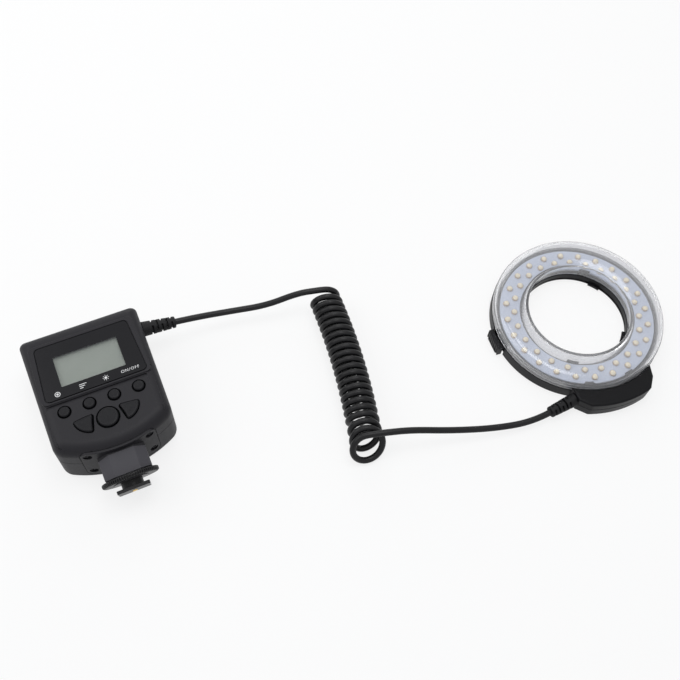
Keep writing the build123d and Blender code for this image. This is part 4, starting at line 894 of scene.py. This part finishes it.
# the strip's face as steps out from the seam's inner edge and steps up from its level
seam_section = np.array([
    (-0.14, 0.135), (0.0, 0.005), (0.2, -0.19), (0.4, -0.395), (0.54, -0.545),
]) + seam_proud * np.sqrt(0.5)
seam_section = np.concatenate([seam_section, seam_section[[-1, 0]] - seam_depth])
seam_plan = seam_path[:, None] + seam_outward[:, None] * seam_section[None, :, :1]
seam_rise = np.broadcast_to(seam_level + seam_section[:, 1], seam_plan.shape[:2])
seam_grid = np.concatenate([seam_plan, seam_rise[..., None]], axis=-1)
seam_ends = seam_grid[[0, -1]].mean(axis=1, keepdims=True).repeat(len(seam_section), axis=1)
seam_grid = np.concatenate([seam_ends[:1], seam_grid, seam_ends[1:]])
seam_mesh = surface("box_seam_strip", on_box(seam_grid), wrap_columns=True)
seam = add_piece("box_seam_strip", seam_mesh, box_plastic, "ring_and_box", smooth_angle=30.0)

# Display: a window of clear sheet, printed black from behind but for its opening, over a
# grey-green liquid crystal panel.
window_ink = Finish("window_ink", (0.0045, 0.0045, 0.0065), Specular_IOR_Level=0.23)
window_ink.put(window_ink.shader, {"Roughness": 0.16 + window_ink.noise(9.0 * mm) * 0.1})


def rounded_outline(corners, radii, count):
    """A closed outline: each corner becomes an arc of its radius, then even steps.

    Corners go round anticlockwise. A radius of 0 keeps the corner as a point.
    """
    corners = np.asarray(corners, float)
    before = np.roll(corners, 1, axis=0) - corners
    after = np.roll(corners, -1, axis=0) - corners
    before /= np.linalg.norm(before, axis=1)[:, None]
    after /= np.linalg.norm(after, axis=1)[:, None]
    half = np.arccos(np.clip((before * after).sum(axis=1), -1, 1)) / 2
    radii = np.broadcast_to(np.asarray(radii, float), half.shape)
    bisector = before + after
    bisector /= np.maximum(np.linalg.norm(bisector, axis=1), 1e-9)[:, None]
    centre = corners + bisector * (radii / np.sin(half))[:, None]
    swing = np.linspace(-1, 1, 13)[None] * (np.pi / 2 - half)[:, None]
    inward = -bisector
    side = np.column_stack([-inward[:, 1], inward[:, 0]])
    ring = centre[:, None] + radii[:, None, None] * (
        np.cos(swing)[..., None] * inward[:, None]
        + np.sin(swing)[..., None] * side[:, None]
    )
    line = ring.reshape(-1, 2)
    return evenly(np.vstack([line, line[:1]]), count, endpoint=False)


def trapezoid(half_top, half_bottom, top, bottom):
    """The corners of an outline that is as wide as given at its two ends."""
    half = [(half_bottom, bottom), (half_top, top)]
    return half + [(-x, y) for x, y in half[::-1]]


def layered(levels):
    """Closed rings of points, each an outline lifted to its level, as one grid."""
    return np.stack([
        np.column_stack([outline, np.full(len(outline), level)])
        for outline, level in levels
    ])


def matched(outline, other):
    """The points of a closed outline where rays from its middle meet another's angles."""
    angle = np.arctan2(outline[:, 1], outline[:, 0])
    theirs = np.arctan2(other[:, 1], other[:, 0])
    order = np.argsort(theirs)
    return np.column_stack([
        np.interp(angle, theirs[order], other[order, k], period=2 * np.pi) for k in range(2)
    ])


window_under, window_top, window_edge = 35.6, 36.5, 0.06
window_outline = rounded_outline(trapezoid(26.9, 28.9, 18.6, -16.7), 2.4, 480)
opening = rounded_outline(trapezoid(18.5, 18.5, 10.0, -10.0), 0.5, 2400)
opening = matched(window_outline, opening)
window_grid = layered([
    (opening, window_under), (opening, window_top), (window_outline * 0.998, window_top),
    (window_outline, window_top - window_edge), (window_outline, window_under),
])
window_mesh = surface("display_window_print", on_box(window_grid), True, True)
window = add_piece("display_window_print", window_mesh, window_ink, "ring_and_box")
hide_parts("display_window")
pane_clear = Finish("window_clear", (0.9, 0.93, 0.92), Roughness=0.06, Alpha=0.05)
pane_top, pane_under = window_top - 0.05, window_under + 0.05
pane_edge, pane_middle = opening * 0.999, opening * 0.999 * 0.001
pane_grid = layered([
    (pane_middle, pane_top), (pane_edge, pane_top),
    (pane_edge, pane_under), (pane_middle, pane_under),
])
pane_mesh = surface("display_window_pane", on_box(pane_grid), True, True)
pane = add_piece("display_window_pane", pane_mesh, pane_clear, "ring_and_box")
crystal = Finish(
    "display_crystal", (0.21, 0.235, 0.205), Roughness=0.3, Specular_IOR_Level=0.3,
)
crystal.clouded(12.0 * mm, (0.195, 0.22, 0.19), (0.23, 0.255, 0.225), 1.0)
finish_node("lcd_module", crystal)

# Marks: white ink printed on the window's lower border, over the keys. Only the power
# key's is a word; the others are plain signs for a test lamp, a choice and a light.
ink = Finish("white_ink", (0.78, 0.78, 0.78), Roughness=0.5)
ink.clouded(0.5 * mm, (0.66, 0.66, 0.66), (0.86, 0.86, 0.86))
ink_level, ink_steps = window_top + 0.02, 40


def flat_strip(first, second):
    """A flat strip of ink between two lines of points."""
    rows = np.stack([first, second])
    return np.concatenate([rows, np.full((*rows.shape[:2], 1), ink_level)], axis=-1)


def flat_ring(middle, outer, inner):
    """A flat ring between two circles."""
    angle = np.linspace(0, 2 * np.pi, ink_steps)
    unit = np.column_stack([np.cos(angle), np.sin(angle)])
    return flat_strip(inner * unit + middle, outer * unit + middle)


def flat_bar(start, end, width):
    """A flat bar from one point to another, between its two long edges."""
    start, end = np.asarray(start, float), np.asarray(end, float)
    way = (end - start) / np.linalg.norm(end - start)
    side = np.array([-way[1], way[0]]) * width / 2
    line = start + (end - start) * np.linspace(0, 1, ink_steps)[:, None]
    return flat_strip(line - side, line + side)


mark_y, dot_middle = -13.6, 0.001
lamp_x, choice_x, light_x, power_x = -21.7, -9.3, 5.75, 19.9
lamp_sign = [
    flat_ring((lamp_x, mark_y), 1.6, 1.2), flat_ring((lamp_x, mark_y), 0.65, dot_middle),
]
choice_sign = [
    flat_bar((choice_x, mark_y + step), (choice_x + reach, mark_y + step), 0.4)
    for step, reach in [(1.15, 4.2), (0.0, 3.1), (-1.15, 2.0)]
]
ray_start, ray_end = 1.15, 1.75
rays = [np.array([np.cos(turn), np.sin(turn)]) for turn in np.radians(np.arange(8) * 45.0)]
light_sign = [flat_ring((light_x, mark_y), 0.75, dot_middle)] + [
    flat_bar((light_x, mark_y) + ray * ray_start, (light_x, mark_y) + ray * ray_end, 0.3)
    for ray in rays
]
signs = np.stack(lamp_sign + choice_sign + light_sign)
add_piece("window_signs", surface("window_signs", on_box(signs)), ink, "ring_and_box")
word = bpy.data.curves.new("power_word", "FONT")
word.body = "ON/OFF"
word.size = 2.55 * mm
word.offset = 0.005 * mm
word.space_character = 1.22
word.align_x = "CENTER"
word.align_y = "CENTER"
word_mesh = mesh_of(word)
word_points = mesh_points(word_mesh) / mm + [power_x, mark_y, ink_level]
word_mesh.vertices.foreach_set("co", on_box(word_points).ravel())
add_piece("power_word_mark", word_mesh, ink, "ring_and_box")

# Keys: seven caps of a darker plastic than the box's, moulded with rounded edges, that
# stand a millimetre out of their openings. Two of them are arrows beside the round one.
key_plastic = moulded(
    "key_plastic", (0.006, 0.006, 0.0078), 0.42, gloss=0.17, cloud=1.0, skin=0.008,
)
key_top, key_low, key_round = 37.1, 33.0, 1.05
key_dish, key_middle = 0.12, 0.001


def key_cap(name, outline, node, body):
    """A key: its outline carried up the wall, over a round edge and in to the middle.

    The top is dished: it falls towards the middle as the square of the way in.
    """
    ahead = np.roll(outline, -1, axis=0) - np.roll(outline, 1, axis=0)
    outward = np.column_stack([ahead[:, 1], -ahead[:, 0]])
    outward /= np.linalg.norm(outward, axis=1)[:, None]
    middle = outline.mean(axis=0)
    levels = [(outline, key_low), (outline, key_top - key_round)]
    for turn in np.radians(np.linspace(15, 90, 6)):
        inset = key_round * (1 - np.cos(turn))
        levels.append((outline - outward * inset, key_top - key_round * (1 - np.sin(turn))))
    flat = levels[-1][0]
    for share in (0.85, 0.6, 0.35, 0.15, key_middle):
        inner = middle + (flat - middle) * share
        levels.append((inner, key_top - key_dish * (1 - share) ** 2))
    grid = layered([(middle + (outline - middle) * key_middle, key_low)] + levels)
    mesh = surface(name, on_box(grid), wrap_columns=True)
    piece = add_piece(name, mesh, key_plastic, body, smooth_angle=50.0)
    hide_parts(node)


def circle(middle, radius, count=96):
    """Points round a circle."""
    angle = np.linspace(0, 2 * np.pi, count, endpoint=False)
    return np.column_stack([np.cos(angle), np.sin(angle)]) * radius + middle


small_key_pitch, small_key_y, cluster_y = 14.1, -25.2, -37.2
for k, node in enumerate(["pilot_button", "mode_button", "light_button", "power_button"]):
    place = ((k - 1.5) * small_key_pitch, small_key_y)
    key_cap(node + "_cap", circle(place, 3.15), node, node)
key_cap("set_button_cap", circle((0.0, cluster_y), 5.85, 144), "set_button", "set_button")


def arrow_outline(side):
    """A D-shaped outline: an arc through three points, and a slightly hollow inner side."""
    top_corner, corner_round = np.array([7.3, 5.0]), 1.1
    first, middle, last = np.array([(18.4, 3.8), (15.6, -2.6), (9.8, -5.4)])
    a, b = middle - first, last - first
    turn = 2 * (a[0] * b[1] - a[1] * b[0])
    centre = first + np.array([
        b[1] * (a @ a) - a[1] * (b @ b), a[0] * (b @ b) - b[0] * (a @ a),
    ]) / turn
    radius = np.linalg.norm(first - centre)
    start = np.degrees(np.arctan2(*(first - centre)[::-1]))
    end = np.degrees(np.arctan2(*(last - centre)[::-1]))
    curve = arc(centre, radius, start, end, 12)
    share = np.linspace(0.25, 0.75, 5)[:, None]
    hollow = last + (top_corner - last) * share + [1.6, 0.4] * share * (1 - share)
    corners = np.vstack([top_corner, curve, hollow])[::-1]
    radii = np.array([0.0] * 5 + [corner_round] + [0.0] * 10 + [corner_round] * 2)
    outline = rounded_outline(corners, radii, 144)
    outline[:, 1] += cluster_y
    if side < 0:
        outline = outline[::-1] * [-1, 1]
    return outline


key_cap("left_button_cap", arrow_outline(-1), "left_button", "left_button")
key_cap("right_button_cap", arrow_outline(1), "right_button", "right_button")

# Electronics and cells inside the box: a dark green board with switches under the keys,
# four sleeved cells and their sprung plates. They show in part when the door slides.
solder_mask = moulded(
    "solder_mask", (0.005, 0.024, 0.011), 0.35, gloss=0.3, cloud=3.0, skin=0.01,
)
finish_node("main_board", solder_mask)
finish_node("key_switches", moulded("switch_plastic", (0.03, 0.03, 0.032), 0.45))
finish_node("board_screws", steel)
finish_node("battery_contacts", metal("spring_plate", (0.62, 0.60, 0.55), 0.28))
sleeve = Finish("cell_sleeve", (0.08, 0.09, 0.10), Roughness=0.3)
sleeve.clouded(6.0 * mm, (0.07, 0.08, 0.09), (0.10, 0.11, 0.12))
finish_node("battery_cells", sleeve)

# Shoe mount: a plate in the box's bottom wall, moulded in one with a leaning eight-sided
# column and held by four sunk screws. The column is coloured a lighter grey than the plate.
plate_shade, column_shade = (0.012, 0.0115, 0.0145), (0.068, 0.066, 0.075)
mount_plastic = moulded("mount_plastic", plate_shade, 0.5)
out_of_wall = mount_plastic.node(
    "ShaderNodeVectorMath", {"operation": "DOT_PRODUCT"},
    {0: mount_plastic.place(), 1: tuple(box_up)}, 1,
)
wall_face = float(box_middle @ box_up - 55.6) * mm  # just outside the bottom wall
column_share = (wall_face - out_of_wall).between(0.0, 0.3 * mm)
mount_plastic.put(mount_plastic.shader, {
    "Base Color": mount_plastic.mix(column_share, plate_shade, column_shade),
})
eased_copy(
    "shoe_mount_column", "shoe_mount", mount_plastic, "ring_and_box",
)

# Shoe foot: a black foot plate on a threaded stem, with ground strips and a gold centre
# contact. A knurled wheel on the stem clamps a steel washer onto the camera's shoe.
foot_plastic = moulded("foot_plastic", (0.010, 0.010, 0.011), 0.38)
eased_copy(
    "shoe_foot_plate", "shoe_foot", foot_plastic, "ring_and_box",
    edge=0.15,
)
finish_node("ground_strips", steel)
finish_node("clamp_washer", metal("washer_steel", (0.06, 0.06, 0.065), 0.35, grain=0.2))
finish_node("centre_contact", metal("gold_contact", (0.78, 0.56, 0.24), 0.22))
lean = np.radians(18.0)
shoe_root = on_box([0.0, -53.5, 20.6]) / mm
shoe_way = -box_up * np.cos(lean) - box_out * np.sin(lean)
shoe_over = np.cross(shoe_way, box_right)
wheel_low, wheel_high, wheel_rim, wheel_bore = 13.0, 15.9, 16.2, 6.35
wheel_teeth, wheel_tooth_depth, wheel_tooth_start = 72, 0.6, 14.6
washer_room, washer_sink = 10.15, 0.75
wheel_profile = np.array([
    (wheel_bore, wheel_low), (13.6, wheel_low), (14.2, wheel_low + 0.25),
    (15.5, wheel_low + 0.25), (15.95, wheel_low + 0.45), (wheel_rim, wheel_low + 0.8),
    (wheel_rim, wheel_high - 0.8), (15.95, wheel_high - 0.45), (15.5, wheel_high - 0.12),
    (15.2, wheel_high), (washer_room, wheel_high), (washer_room, wheel_high - washer_sink),
    (wheel_bore, wheel_high - washer_sink),
])
wheel_angle = np.linspace(0, 2 * np.pi, wheel_teeth * 12, endpoint=False)
notch = 0.5 - 0.5 * np.cos(wheel_angle * wheel_teeth)
notch = eased((notch - 0.35) / 0.4)
rim_share = eased((wheel_profile[:, 0] - wheel_tooth_start) / 0.8)
wheel_radius = wheel_profile[:, :1] - wheel_tooth_depth * rim_share[:, None] * notch
spokes = np.cos(wheel_angle)[:, None] * box_right + np.sin(wheel_angle)[:, None] * shoe_over
wheel_axis = shoe_root + wheel_profile[:, 1, None, None] * shoe_way
wheel_grid = wheel_axis + wheel_radius[..., None] * spokes
wheel_mesh = surface("knurled_lock_wheel", wheel_grid * mm, True, True)
wheel = add_piece(
    "knurled_lock_wheel", wheel_mesh, foot_plastic, "lock_wheel", smooth_angle=50.0,
)
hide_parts("lock_wheel")
